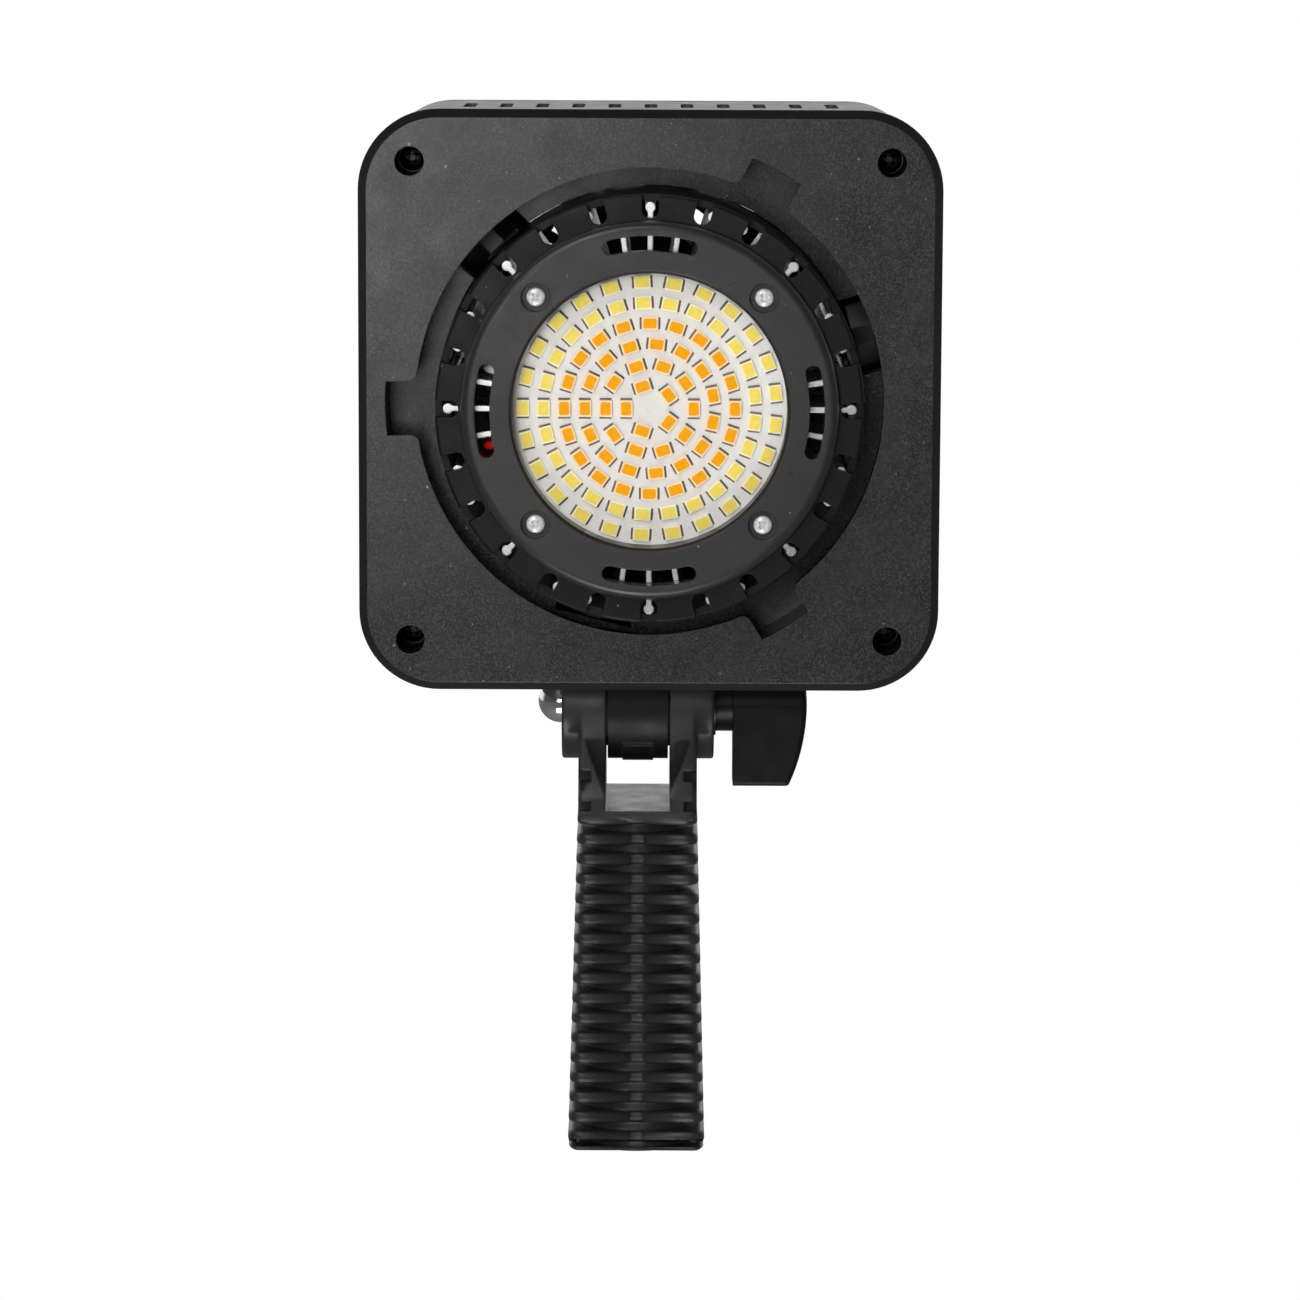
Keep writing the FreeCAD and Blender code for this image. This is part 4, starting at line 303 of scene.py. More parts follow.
@dataclass(frozen=True)
class Finish:
    """A moulded or painted surface: mottled colour, uneven roughness, grain and pale edges, which are wear
    on most finishes and a painted highlight on the face.
    """

    CLOUDS: ClassVar[Texture] = Texture(1.0, 5.0)
    PATCHES: ClassVar[Texture] = Texture(9.0, 4.0, 0.35, 0.65)
    SHEEN: ClassVar[Texture] = Texture(3.1, 4.0)
    GRAIN_DETAIL: ClassVar[float] = 2.0
    EXTRAS: ClassVar[Mapping[str, object]] = {}

    name: str
    colour: Triple
    roughness: float
    metallic: float = 0.0
    specular: float = 0.5
    roughness_spread: float = 0.07
    mottle: float = 0.18
    mottle_scale: float = 55.0
    grain_scale: float = 2600.0
    grain_depth: float = 0.000012
    edge_radius: float = 0.00035
    wear_and_glint: float = 0.12
    wear_and_glint_colour: Triple = (0.28, 0.28, 0.28)
    coat: float = 0.0

    def base_colour(self, shader: Shader, edge: Socket) -> Socket:
        """Work out the colour of the surface.

        Args:
            shader: The material in the making.
            edge: The mask of the piece's edges.

        Returns:
            The colour's socket.
        """
        darker = tuple(channel * (1.0 - self.mottle) for channel in self.colour)
        lighter = tuple(min(1.0, channel * (1.0 + self.mottle)) for channel in self.colour)
        clouds = self.CLOUDS.spread(shader, self.mottle_scale, 0.0, 1.0)
        # Pale patches along the edges: wear on most finishes, and a painted highlight along the face's rims
        patches = self.PATCHES.spread(shader, self.mottle_scale, 0.0, self.wear_and_glint)
        wear_and_glint_mask = shader.math("MULTIPLY", edge, patches)
        return shader.mix(wear_and_glint_mask, shader.mix(clouds, darker, lighter), self.wear_and_glint_colour)

    def height(self, shader: Shader) -> Socket:
        """Work out the fine relief of the surface."""
        return shader.noise(self.grain_scale, self.GRAIN_DETAIL)

    @functools.cache
    def material(self) -> bpy.types.Material:
        """Build the material, once.

        Returns:
            The material for this finish.
        """
        shader = Shader(self.name)
        inputs = shader.surface.inputs
        edge, soft_normal = shader.edge_mask(self.edge_radius)
        shader.link(self.base_colour(shader, edge), inputs["Base Color"])
        low, high = self.roughness - self.roughness_spread, self.roughness + self.roughness_spread
        shader.link(self.SHEEN.spread(shader, self.mottle_scale, low, high), inputs["Roughness"])
        shader.link(shader.bump(self.height(shader), self.grain_depth, soft_normal), inputs["Normal"])
        plain = {"Metallic": self.metallic, "Specular IOR Level": self.specular, "Coat Weight": self.coat}
        for name, value in {**plain, **self.EXTRAS}.items():
            inputs[name].default_value = value
        self.complete(shader)
        return shader.material

    def complete(self, shader: Shader) -> None:
        """Add the patterns that only some finishes have."""


@dataclass(frozen=True)
class ScuffedFace(Finish):
    """A dark fine-grained face with faint scuffs and pale specks on its flats; its walls and chamfers have
    no marks, less shine and painted shade.
    """

    SCUFFS: ClassVar[Texture] = Texture(1.0, 9.0, 0.5, 0.72)
    GRAINS: ClassVar[Texture] = Texture(38.0, 2.0, 0.45, 0.7)
    SPECKS: ClassVar[Texture] = Texture(12.0, 1.0, 0.76, 0.82)
    WALL_TO_CHAMFER: ClassVar[Span] = (0.2, 0.5)
    CHAMFER_TO_FLAT: ClassVar[Span] = (0.93, 0.99)

    scuff_scale: float = 70.0
    scuff: float = 0.1
    scuff_colour: Triple = (0.2, 0.2, 0.2)
    speck: float = 0.5
    speck_colour: Triple = (0.42, 0.42, 0.4)
    grain: float = 0.12
    # The share of the colour left on walls and chamfers, as painted shade
    wall_shade_share: float = 0.5
    wall_specular: float = 0.5

    def base_colour(self, shader: Shader, edge: Socket) -> Socket:
        """Add scuffs, grain and specks to the flats, and paint shade on the walls and chamfers.

        Args:
            shader: The material in the making.
            edge: The mask of the piece's edges.

        Returns:
            The colour's socket.
        """
        plain = super().base_colour(shader, edge)
        flat = shader.spread(self.facing(shader), 0.0, 1.0, *self.CHAMFER_TO_FLAT)
        scuffs = self.SCUFFS.spread(shader, self.scuff_scale, 0.0, self.scuff)
        grains = self.GRAINS.spread(shader, self.scuff_scale, 0.0, self.grain)
        specks = self.SPECKS.spread(shader, self.scuff_scale, 0.0, self.speck)
        marks = shader.math("MULTIPLY", shader.math("ADD", scuffs, grains, clamp=True), flat)
        rubbed = shader.mix(marks, plain, self.scuff_colour)
        marked = shader.mix(shader.math("MULTIPLY", specks, flat), rubbed, self.speck_colour)
        # Walls and chamfers away from the edges take a darker copy of the colour: painted shade
        painted_wall_shade = tuple(channel * self.wall_shade_share for channel in self.colour)
        return shader.mix(shader.math("MAXIMUM", flat, edge), painted_wall_shade, marked)

    def complete(self, shader: Shader) -> None:
        """Take the shine off the walls, such as those of the notches, and leave it on the chamfers."""
        shine = shader.spread(self.facing(shader), self.wall_specular, self.specular, *self.WALL_TO_CHAMFER)
        shader.link(shine, shader.surface.inputs["Specular IOR Level"])

    def facing(self, shader: Shader) -> Socket:
        """Find how far a surface looks ahead or back.

        Args:
            shader: The material in the making.

        Returns:
            The share, from 0 on a wall to 1 on a flat.
        """
        geometry = shader.add("ShaderNodeNewGeometry")
        parts = shader.add("ShaderNodeSeparateXYZ")
        shader.link(geometry.outputs["True Normal"], parts.inputs[0])
        return shader.math("ABSOLUTE", parts.outputs["Y"])


@dataclass(frozen=True)
class TurnedMetal(Finish):
    """Bare metal with fine streaks left by turning, drawing or plating."""

    STREAK_DETAIL: ClassVar[float] = 3.0
    STREAK_SHARE: ClassVar[float] = 0.25

    streaks: Triple = (1.0, 1.0, 30.0)
    metallic: float = 1.0
    grain_depth: float = 0.000006
    wear_and_glint: float = 0.3
    wear_and_glint_colour: Triple = (0.9, 0.9, 0.9)

    def height(self, shader: Shader) -> Socket:
        """Draw the streaks out along one axis."""
        return shader.noise(self.grain_scale * self.STREAK_SHARE, self.STREAK_DETAIL, self.streaks)


@dataclass(frozen=True)
class SolderMask(Finish):
    """A white board with the faint relief of its copper tracks."""

    BREAKS: ClassVar[Texture] = Texture(1.0, 2.0, 0.45, 0.6)

    track_pitch: float = 0.00431
    track_radius: float = 0.00272
    track_width: float = 0.12
    track_strength: float = 0.5
    track_colour: Triple = (0.62, 0.62, 0.6)
    break_scale: float = 420.0

    def base_colour(self, shader: Shader, edge: Socket) -> Socket:
        """Add round and broken tracks to the white mask.

        Args:
            shader: The material in the making.
            edge: The mask of the board's edges.

        Returns:
            The colour's socket.
        """
        plain = super().base_colour(shader, edge)
        middle = head_centre()
        mapping = shader.add("ShaderNodeMapping")
        mapping.inputs["Location"].default_value = (-middle.x, 0.0, -middle.z)
        mapping.inputs["Scale"].default_value = (1.0, 0.0, 1.0)
        shader.link(shader.place, mapping.inputs["Vector"])
        length = shader.add("ShaderNodeVectorMath", operation="LENGTH")
        shader.link(mapping.outputs["Vector"], length.inputs[0])
        beyond = shader.math("SUBTRACT", length.outputs["Value"], self.track_radius)
        ring = shader.math("DIVIDE", beyond, self.track_pitch)
        offset = shader.math("ABSOLUTE", shader.math("SUBTRACT", shader.math("FRACT", ring), 0.5))
        line = shader.spread(offset, self.track_strength, 0.0, 0.0, self.track_width)
        breaks = self.BREAKS.spread(shader, self.break_scale, 0.0, 1.0)
        return shader.mix(shader.math("MULTIPLY", line, breaks), plain, self.track_colour)


@dataclass(frozen=True)
class Phosphor(Finish):
    """Phosphor gel, or the pale case round it, that lets a little light in."""

    EXTRAS: ClassVar[Mapping[str, object]] = {
        "Subsurface Weight": 0.1, "Subsurface Scale": 0.0003, "Subsurface Radius": (1.0, 0.6, 0.2),
    }

    mottle_scale: float = 900.0
    grain_scale: float = 9000.0
    grain_depth: float = 0.000004
    edge_radius: float = 0.00012
    wear_and_glint: float = 0.0


@dataclass(frozen=True)
class SmokedGlass(Finish):
    """Dark glossy glass that lets the display show through."""

    EXTRAS: ClassVar[Mapping[str, object]] = {"Transmission Weight": 0.35, "IOR": 1.49}


class Finishes:
    """Every finish of the light."""

    GRIP = Finish("grip_moulding", (0.018, 0.018, 0.0188), 0.34, grain_scale=1500.0, grain_depth=0.00001,
                  edge_radius=0.0009, wear_and_glint=0.1)
    KNOB = Finish("satin_knob", (0.004, 0.004, 0.004), 0.34, specular=0.2, edge_radius=0.0006, wear_and_glint=0.05)
    # The face's pale edges are a painted highlight along its rims, not wear
    FACE = ScuffedFace("face_moulding", (0.014, 0.014, 0.0137), 0.26, grain_depth=0.00001,
                       roughness_spread=0.04, mottle=0.12, mottle_scale=38.0, wear_and_glint=0.45,
                       edge_radius=0.00025, scuff=0.04, grain=0.2, wall_specular=0.03)
    HOUSING = ScuffedFace("housing_paint", (0.06, 0.06, 0.06), 0.4, grain_scale=1900.0, scuff=0.06,
                          wall_shade_share=1.0)
    COVER = ScuffedFace("cover_moulding", (0.03, 0.03, 0.03), 0.5, grain_scale=1500.0, grain_depth=0.00002,
                        scuff=0.06)
    BEZEL = ScuffedFace("bezel_moulding", (0.022, 0.022, 0.0213), 0.34, grain_scale=2000.0,
                        grain_depth=0.00002, edge_radius=0.0004, scuff=0.05, wear_and_glint=0.16, grain=0.04,
                        wall_shade_share=0.8)
    DRUM = ScuffedFace("drum_moulding", (0.005, 0.005, 0.005), 0.36, grain_scale=2000.0,
                       edge_radius=0.0003, specular=0.22, wall_specular=0.22, scuff=0.02, wear_and_glint=0.12,
                       grain=0.03, wall_shade_share=0.8)
    SINK = TurnedMetal("sink_aluminium", (0.78, 0.77, 0.75), 0.3, streaks=(1.0, 0.05, 1.0))
    CHROME = TurnedMetal("polished_nut", (0.8, 0.8, 0.8), 0.07, roughness_spread=0.03, mottle=0.05,
                         grain_depth=0.000002, streaks=(0.2, 1.0, 1.0))
    SILVER = TurnedMetal("bright_zinc", (0.82, 0.82, 0.81), 0.36, metallic=0.35, mottle=0.3,
                         mottle_scale=1400.0, grain_scale=5200.0, grain_depth=0.00006,
                         streaks=(1.0, 1.0, 1.0))
    BLACK_OXIDE = TurnedMetal("black_oxide", (0.06, 0.06, 0.062), 0.36, wear_and_glint_colour=(0.4, 0.4, 0.4))
    STEEL = TurnedMetal("turned_steel", (0.6, 0.6, 0.61), 0.28)
    SPRING = TurnedMetal("spring_steel", (0.06, 0.06, 0.06), 0.4, streaks=(1.0, 1.0, 0.1),
                         wear_and_glint_colour=(0.3, 0.3, 0.3))
    BRASS = TurnedMetal("knurled_brass", (0.72, 0.52, 0.22), 0.3)
    BRACKET = Finish("bracket_paint", (0.007, 0.007, 0.0074), 0.42, specular=0.2, edge_radius=0.0005,
                     wear_and_glint=0.2)
    NYLON = Finish("black_nylon", (0.012, 0.012, 0.012), 0.5)
    FAN = Finish("fan_moulding", (0.012, 0.012, 0.013), 0.48)
    GREEN = Finish("green_mask", (0.02, 0.13, 0.05), 0.3, coat=0.3)
    CAN = Finish("sleeved_can", (0.03, 0.035, 0.07), 0.3)
    COPPER = TurnedMetal("enamelled_copper", (0.65, 0.29, 0.12), 0.28, streaks=(30.0, 30.0, 1.0))
    TERMINAL = Finish("terminal_moulding", (0.04, 0.2, 0.07), 0.4)
    SWITCH = Finish("switch_moulding", (0.014, 0.014, 0.015), 0.34, edge_radius=0.0003)
    PAD = Finish("thermal_pad", (0.3, 0.34, 0.4), 0.7)
    RED_JACKET = Finish("red_jacket", (0.62, 0.012, 0.01), 0.35, wear_and_glint=0.0)
    WHITE_JACKET = Finish("white_jacket", (0.75, 0.75, 0.73), 0.4, wear_and_glint=0.0)
    BLACK_JACKET = Finish("black_jacket", (0.015, 0.015, 0.015), 0.4, wear_and_glint=0.0)
    BOARD = SolderMask("white_mask", (0.76, 0.74, 0.705), 0.38, mottle=0.02, grain_scale=3000.0, wear_and_glint=0.0)
    WARM_GEL = Phosphor("warm_phosphor", (1.0, 0.385, 0.0005), 0.35, specular=0.2, mottle=0.06)
    COOL_GEL = Phosphor("cool_phosphor", (1.0, 0.74, 0.13), 0.35, specular=0.2, mottle=0.06)
    WARM_CASE = Phosphor("warm_case", (1.0, 0.74, 0.48), 0.35, mottle=0.05)
    COOL_CASE = Phosphor("cool_case", (1.0, 0.9, 0.66), 0.35, mottle=0.05)
    SOLDER = TurnedMetal("brown_solder", (0.24, 0.18, 0.14), 0.45, metallic=0.5, grain_scale=7000.0,
                         grain_depth=0.00002)
    MARK = Finish("printed_mark", (0.6, 0.6, 0.58), 0.5, wear_and_glint=0.0)
    GLASS = SmokedGlass("smoked_glass", (0.01, 0.01, 0.012), 0.06, roughness_spread=0.03,
                        grain_depth=0.000001)


def dress(finish: Finish, *nodes: str) -> None:
    """Give CAD nodes their material.

    Args:
        finish: The finish that the nodes have.
        nodes: The names of the nodes.
    """
    for node in nodes:
        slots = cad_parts[node].data.materials
        slots.clear()
        slots.append(finish.material())
        log.info("dressed %s as %s", node, finish.name)


# Shapes

def wrapped(name: str, shape: Shape) -> Piece:
    """Turn a shape into an object with its faces outwards.

    Args:
        name: The object's name.
        shape: Its shape, which is freed.

    Returns:
        The object.
    """
    mesh = bpy.data.meshes.new(name)
    bmesh.ops.recalc_face_normals(shape, faces=shape.faces)
    shape.to_mesh(mesh)
    shape.free()
    piece = bpy.data.objects.new(name, mesh)
    bpy.context.scene.collection.objects.link(piece)
    return piece


def baked(name: str, carrier: Piece) -> Piece:
    """Turn an object with modifiers into a plain piece.

    Args:
        name: The name of the piece.
        carrier: The object that holds the modifiers, which is removed.

    Returns:
        The new object.
    """
    bpy.context.view_layer.update()
    graph = bpy.context.evaluated_depsgraph_get()
    mesh = bpy.data.meshes.new_from_object(carrier.evaluated_get(graph), depsgraph=graph)
    carrier.modifiers.clear()
    bpy.data.objects.remove(carrier)
    mesh.name = name
    piece = bpy.data.objects.new(name, mesh)
    bpy.context.scene.collection.objects.link(piece)
    return piece


def smoothed(piece: Piece) -> Piece:
    """Shade a piece smooth except across sharp edges.

    Args:
        piece: The piece to shade.

    Returns:
        The piece.
    """
    piece.data.shade_smooth()
    piece.data.set_sharp_from_angle(angle=SHARP_BEND)
    return piece


def block_shape(low: Vector, high: Vector, bevel: float = 0.0, segments: int = 1) -> Shape:
    """Make a box with bevelled edges.

    Args:
        low: Its lowest corner.
        high: Its highest corner.
        bevel: The width of its bevels.
        segments: The faces across a bevel.

    Returns:
        The shape.
    """
    shape = bmesh.new()
    bmesh.ops.create_cube(shape, size=1.0)
    scale = Matrix.Diagonal((*(high - low), 1.0))
    bmesh.ops.transform(shape, matrix=Matrix.Translation((low + high) / 2) @ scale, verts=shape.verts)
    if bevel:
        bmesh.ops.bevel(shape, geom=shape.edges[:], offset=bevel, segments=segments, affect="EDGES",
                        profile=ROUND_PROFILE)
    return shape


def turned_shape(profile: Iterable[Span], steps: int) -> Shape:
    """Spin an outline round the Y axis.

    Args:
        profile: Radii and depths, from the axis to the axis.
        steps: The faces round the axis.

    Returns:
        The closed shape.
    """
    shape = bmesh.new()
    points = [shape.verts.new((radius, depth, 0.0)) for radius, depth in profile]
    edges = [shape.edges.new(pair) for pair in zip(points, points[1:])]
    bmesh.ops.spin(shape, geom=[*points, *edges], cent=(0, 0, 0), axis=(0, 1, 0), angle=2 * math.pi,
                   steps=steps, use_merge=True)
    bmesh.ops.remove_doubles(shape, verts=shape.verts, dist=SEAM)
    bmesh.ops.recalc_face_normals(shape, faces=shape.faces)
    return shape


def add_prism(shape: Shape, first: Sequence[Triple], second: Sequence[Triple]) -> None:
    """Add a closed shape between two outlines.

    Args:
        shape: The shape to add it to.
        first: The corners of one end.
        second: The corners of the other end, as many and in the same order.
    """
    one, two = ([shape.verts.new(spot) for spot in outline] for outline in (first, second))
    shape.faces.new(one)
    shape.faces.new(two[::-1])
    for corners in zip(one, one[1:] + one[:1], two[1:] + two[:1], two):
        shape.faces.new(corners)


# Repeated pieces

class RingTree(NodeTree):
    """A Geometry Nodes tree that sets units round an axis along Y and adds them to the piece."""

    INPUTS = (
        ("Unit", "NodeSocketObject"), ("Finish", "NodeSocketMaterial"), ("Count", "NodeSocketInt"),
        ("Radius", "NodeSocketFloat"), ("Start", "NodeSocketFloat"), ("Step", "NodeSocketFloat"),
        ("Centre", "NodeSocketVector"),
    )

    def __init__(self) -> None:
        """Build the tree."""
        super().__init__(bpy.data.node_groups.new("ring_of_units", "GeometryNodeTree"))
        interface = self.tree.interface
        interface.new_socket("Geometry", in_out="INPUT", socket_type="NodeSocketGeometry")
        for name, kind in self.INPUTS:
            interface.new_socket(name, in_out="INPUT", socket_type=kind)
        interface.new_socket("Geometry", in_out="OUTPUT", socket_type="NodeSocketGeometry")
        given = self.add("NodeGroupInput").outputs
        index = self.add("GeometryNodeInputIndex").outputs[0]
        angle = self.math("ADD", given["Start"], self.math("MULTIPLY", index, given["Step"]))
        place = self.add("ShaderNodeCombineXYZ")
        for axis, share in (("X", "COSINE"), ("Z", "SINE")):
            self.link(self.math("MULTIPLY", self.math(share, angle), given["Radius"]), place.inputs[axis])
        shifted = self.add("ShaderNodeVectorMath", operation="ADD")
        self.link(place.outputs[0], shifted.inputs[0])
        self.link(given["Centre"], shifted.inputs[1])
        points = self.add("GeometryNodePoints")
        self.link(given["Count"], points.inputs["Count"])
        self.link(shifted.outputs[0], points.inputs["Position"])
        turn = self.add("ShaderNodeCombineXYZ")
        self.link(self.math("MULTIPLY", angle, -1.0), turn.inputs["Y"])
        unit = self.add("GeometryNodeObjectInfo")
        self.link(given["Unit"], unit.inputs["Object"])
        spread = self.add("GeometryNodeInstanceOnPoints")
        self.link(points.outputs[0], spread.inputs["Points"])
        self.link(unit.outputs["Geometry"], spread.inputs["Instance"])
        self.link(turn.outputs[0], spread.inputs["Rotation"])
        joined = self.add("GeometryNodeJoinGeometry")
        real = self.add("GeometryNodeRealizeInstances")
        painted = self.add("GeometryNodeSetMaterial")
        self.link(spread.outputs[0], real.inputs[0])
        self.link(real.outputs[0], painted.inputs["Geometry"])
        self.link(given["Finish"], painted.inputs["Material"])
        self.link(given["Geometry"], joined.inputs[0])
        self.link(painted.outputs[0], joined.inputs[0])
        self.link(joined.outputs[0], self.add("NodeGroupOutput").inputs[0])

    def identifier(self, name: str) -> str:
        """Find the identifier of a named input."""
        items = self.tree.interface.items_tree
        return next(item.identifier for item in items if item.name == name and item.in_out == "INPUT")


@dataclass
class Ring:
    """One ring of equal units."""

    unit: Piece
    finish: Finish
    count: int
    radius: float
    centre: Vector
    start: float = math.pi
    step: Optional[float] = None


class Repeater:
    """Makes pieces out of rings of units."""

    def __init__(self) -> None:
        """Build the tree that all the pieces share."""
        self.rings = RingTree()

    def piece(self, name: str, rings: Sequence[Ring]) -> Piece:
        """Make one mesh from several rings of units.

        Args:
            name: The name of the piece.
            rings: The rings that it is made of.

        Returns:
            The piece, at the origin, with its place in its mesh.
        """
        carrier = bpy.data.objects.new(f"{name}_carrier", bpy.data.meshes.new(f"{name}_carrier"))
        bpy.context.scene.collection.objects.link(carrier)
        for ring in rings:
            modifier = carrier.modifiers.new("ring", "NODES")
            modifier.node_group = self.rings.tree
            step = -2.0 * math.pi / ring.count if ring.step is None else ring.step
            values = {"Unit": ring.unit, "Finish": ring.finish.material(), "Count": ring.count,
                      "Radius": ring.radius, "Start": ring.start, "Step": step, "Centre": ring.centre}
            for key, value in values.items():
                modifier[self.rings.identifier(key)] = value
        return baked(name, carrier)


def seat(piece: Piece, body: str, slot: str, *nodes: str) -> None:
    """Let a finished piece ride on a body and stand for CAD nodes.

    Args:
        piece: The piece, at the origin.
        body: The body that it moves with.
        slot: The record's material slot; not used.
        nodes: The nodes that it stands for.
    """
    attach(piece, body)
    if nodes:
        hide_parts(*nodes)
    log.info("built %s on %s with %d faces", piece.name, body, len(piece.data.polygons))


@dataclass(frozen=True)
class CrossScrew:
    """A screw with a domed head and a tapered cross recess, its head towards -Y."""

    # The dome's outline, in shares of the head's radius and height
    DOME: ClassVar[Sequence[Span]] = ((0.0, 0.0), (0.45, 0.03), (0.75, 0.14), (0.93, 0.32), (1.0, 0.45),
                                      (1.0, 0.96), (0.97, 1.0))
    ARM_REACH: ClassVar[float] = 0.62
    ARM_WIDTH: ClassVar[float] = 0.17
    # The recess's two ends: the share of the head's height, and the share of the arm's reach
    TAPER: ClassVar[Sequence[Span]] = ((-0.2, 1.05), (0.72, 0.45))
    STEPS: ClassVar[int] = 32

    head_radius: float
    head_height: float
    shank_radius: float
    shank_length: float

    def unit(self, name: str, facing: Facing) -> Piece:
        """Build the screw with the top of its head at the origin.

        Args:
            name: The unit's name.
            facing: The way that the head looks.

        Returns:
            The unit.
        """
        end = self.head_height + self.shank_length
        profile = [(self.head_radius * across, self.head_height * down) for across, down in self.DOME]
        profile += [(self.shank_radius, self.head_height), (self.shank_radius, end), (0.0, end)]
        body = wrapped(name, turned_shape(profile, self.STEPS))
        cutter = wrapped(f"{name}_cutter", self.recess())
        modifier = body.modifiers.new("recess", "BOOLEAN")
        modifier.operation = "DIFFERENCE"
        modifier.solver = "EXACT"
        modifier.object = cutter
        unit = smoothed(baked(name, body))
        bpy.data.objects.remove(cutter)
        unit.data.transform(Matrix.Rotation(facing.value, 4, "Z"))
        return unit

    def recess(self) -> Shape:
        """Make the tapered cross that is cut from the head.

        Returns:
            The closed shape.
        """
        turns = [Matrix.Rotation(QUARTER_TURN * quarter, 2) for quarter in range(4)]
        outlines = []
        for depth, share in self.TAPER:
            reach = self.head_radius * self.ARM_REACH * share
            half = self.head_radius * self.ARM_WIDTH * (share + 1.0) / 2
            corners = ((reach, -half), (reach, half), (half, half))
            spots = [turn @ Vector(corner) for turn in turns for corner in corners]
            outlines.append([(spot.x, self.head_height * depth, spot.y) for spot in spots])
        shape = bmesh.new()
        add_prism(shape, *outlines)
        return shape

    def fit(self, repeater: Repeater, name: str, facing: Facing, radius: float, centre: Vector,
            finish: Finish, slot: str, node: str) -> None:
        """Build four of the screws in the head, at the corners of a square.

        Args:
            repeater: What repeats the screw.
            name: The name of the piece.
            facing: The way that the screws look.
            radius: How far each stands from the centre.
            centre: The middle of the square, level with the tops of the heads.
            finish: The finish of the screws.
            slot: The record's material slot.
            node: The node that they stand for.
        """
        unit = self.unit(f"{name}_unit", facing)
        seat(repeater.piece(name, [Ring(unit, finish, 4, radius, centre, DIAGONAL)]), "head", slot, node)
        bpy.data.objects.remove(unit)


CORNER_SCREW = CrossScrew(2.8 * MM, 2.0 * MM, 1.5 * MM, 17.0 * MM)


# Sub-assemblies

@dataclass
class GripAssembly:
    """The grip, its socket and its clamp."""

    rim_radius: float = 0.7 * MM
    rim_segments: int = 3
    ribs_top: float = 76.0 * MM
    weld: float = 0.001 * MM
    planar: float = math.radians(0.5)
    flat: float = 0.98
    upright: float = 0.2

    def build(self) -> None:
        """Round the ribs and dress the other pieces of the grip."""
        seat(self.rounded_grip(), "grip", "grip_plastic", "grip")
        dress(Finishes.STEEL, "spigot_sleeve", "clamp_screw")
        dress(Finishes.BRASS, "clamp_insert")
        dress(Finishes.KNOB, "clamp_knob")

    def rounded_grip(self) -> Piece:
        """Copy the grip with the rims of its ribs rounded, as a mould leaves them.

        Returns:
            The copy, in its finish.
        """
        shape = bmesh.new()
        shape.from_mesh(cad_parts["grip"].data)
        bmesh.ops.remove_doubles(shape, verts=shape.verts, dist=self.weld)
        bmesh.ops.dissolve_limit(shape, angle_limit=self.planar, verts=shape.verts, edges=shape.edges)
        rims = [edge for edge in shape.edges if self.is_rim(edge)]
        bmesh.ops.bevel(shape, geom=rims, offset=self.rim_radius, offset_type="OFFSET",
                        segments=self.rim_segments, profile=ROUND_PROFILE, affect="EDGES",
                        clamp_overlap=False)
        piece = smoothed(wrapped("ribbed_grip", shape))
        piece.data.materials.append(Finishes.GRIP.material())
        return piece

    def is_rim(self, edge: bmesh.types.BMEdge) -> bool:
        """Tell whether an edge is an outer rim of a rib.

        Args:
            edge: The edge to test.

        Returns:
            Whether it lies between a level face and an upright one, below the neck.
        """
        if len(edge.link_faces) != 2 or not edge.is_convex or edge.calc_face_angle(0.0) < SHARP_BEND:
            return False
        if max(corner.co.z for corner in edge.verts) > self.ribs_top:
            return False
        tilts = sorted(abs(face.normal.z) for face in edge.link_faces)
        return tilts[0] < self.upright and tilts[1] > self.flat


@dataclass
class TiltJoint:
    """The hinge between the grip and the head."""

    def build(self) -> None:
        """Dress the pieces of the hinge."""
        dress(Finishes.CHROME, "tilt_nut")
        dress(Finishes.NYLON, "tilt_washers")
        dress(Finishes.BLACK_OXIDE, "lever_washer")
        dress(Finishes.STEEL, "lever_stud")
        dress(Finishes.KNOB, "tilt_lever")
        dress(Finishes.BRACKET, "tilt_foot")
        dress(Finishes.BLACK_OXIDE, "tilt_foot_screws")


@dataclass
class FrontFace:
    """The face of the head with its bayonet."""

    repeater: Repeater
    screw_depth: float = 14.5 * MM
    screw: CrossScrew = CORNER_SCREW

    def build(self) -> None:
        """Dress the face and build its corner screws."""
        dress(Finishes.FACE, "front_plate", "bayonet_ring")
        dress(Finishes.SPRING, "bayonet_springs")
        dress(Finishes.BLACK_OXIDE, "bayonet_ring_screws")
        centre = head_centre() + Vector((0.0, self.screw_depth, 0.0))
        self.screw.fit(self.repeater, "corner_screws", Facing.FRONT, CORNER_SQUARE / math.sqrt(2), centre,
                       Finishes.BLACK_OXIDE, "dark_screws", "plate_screws")


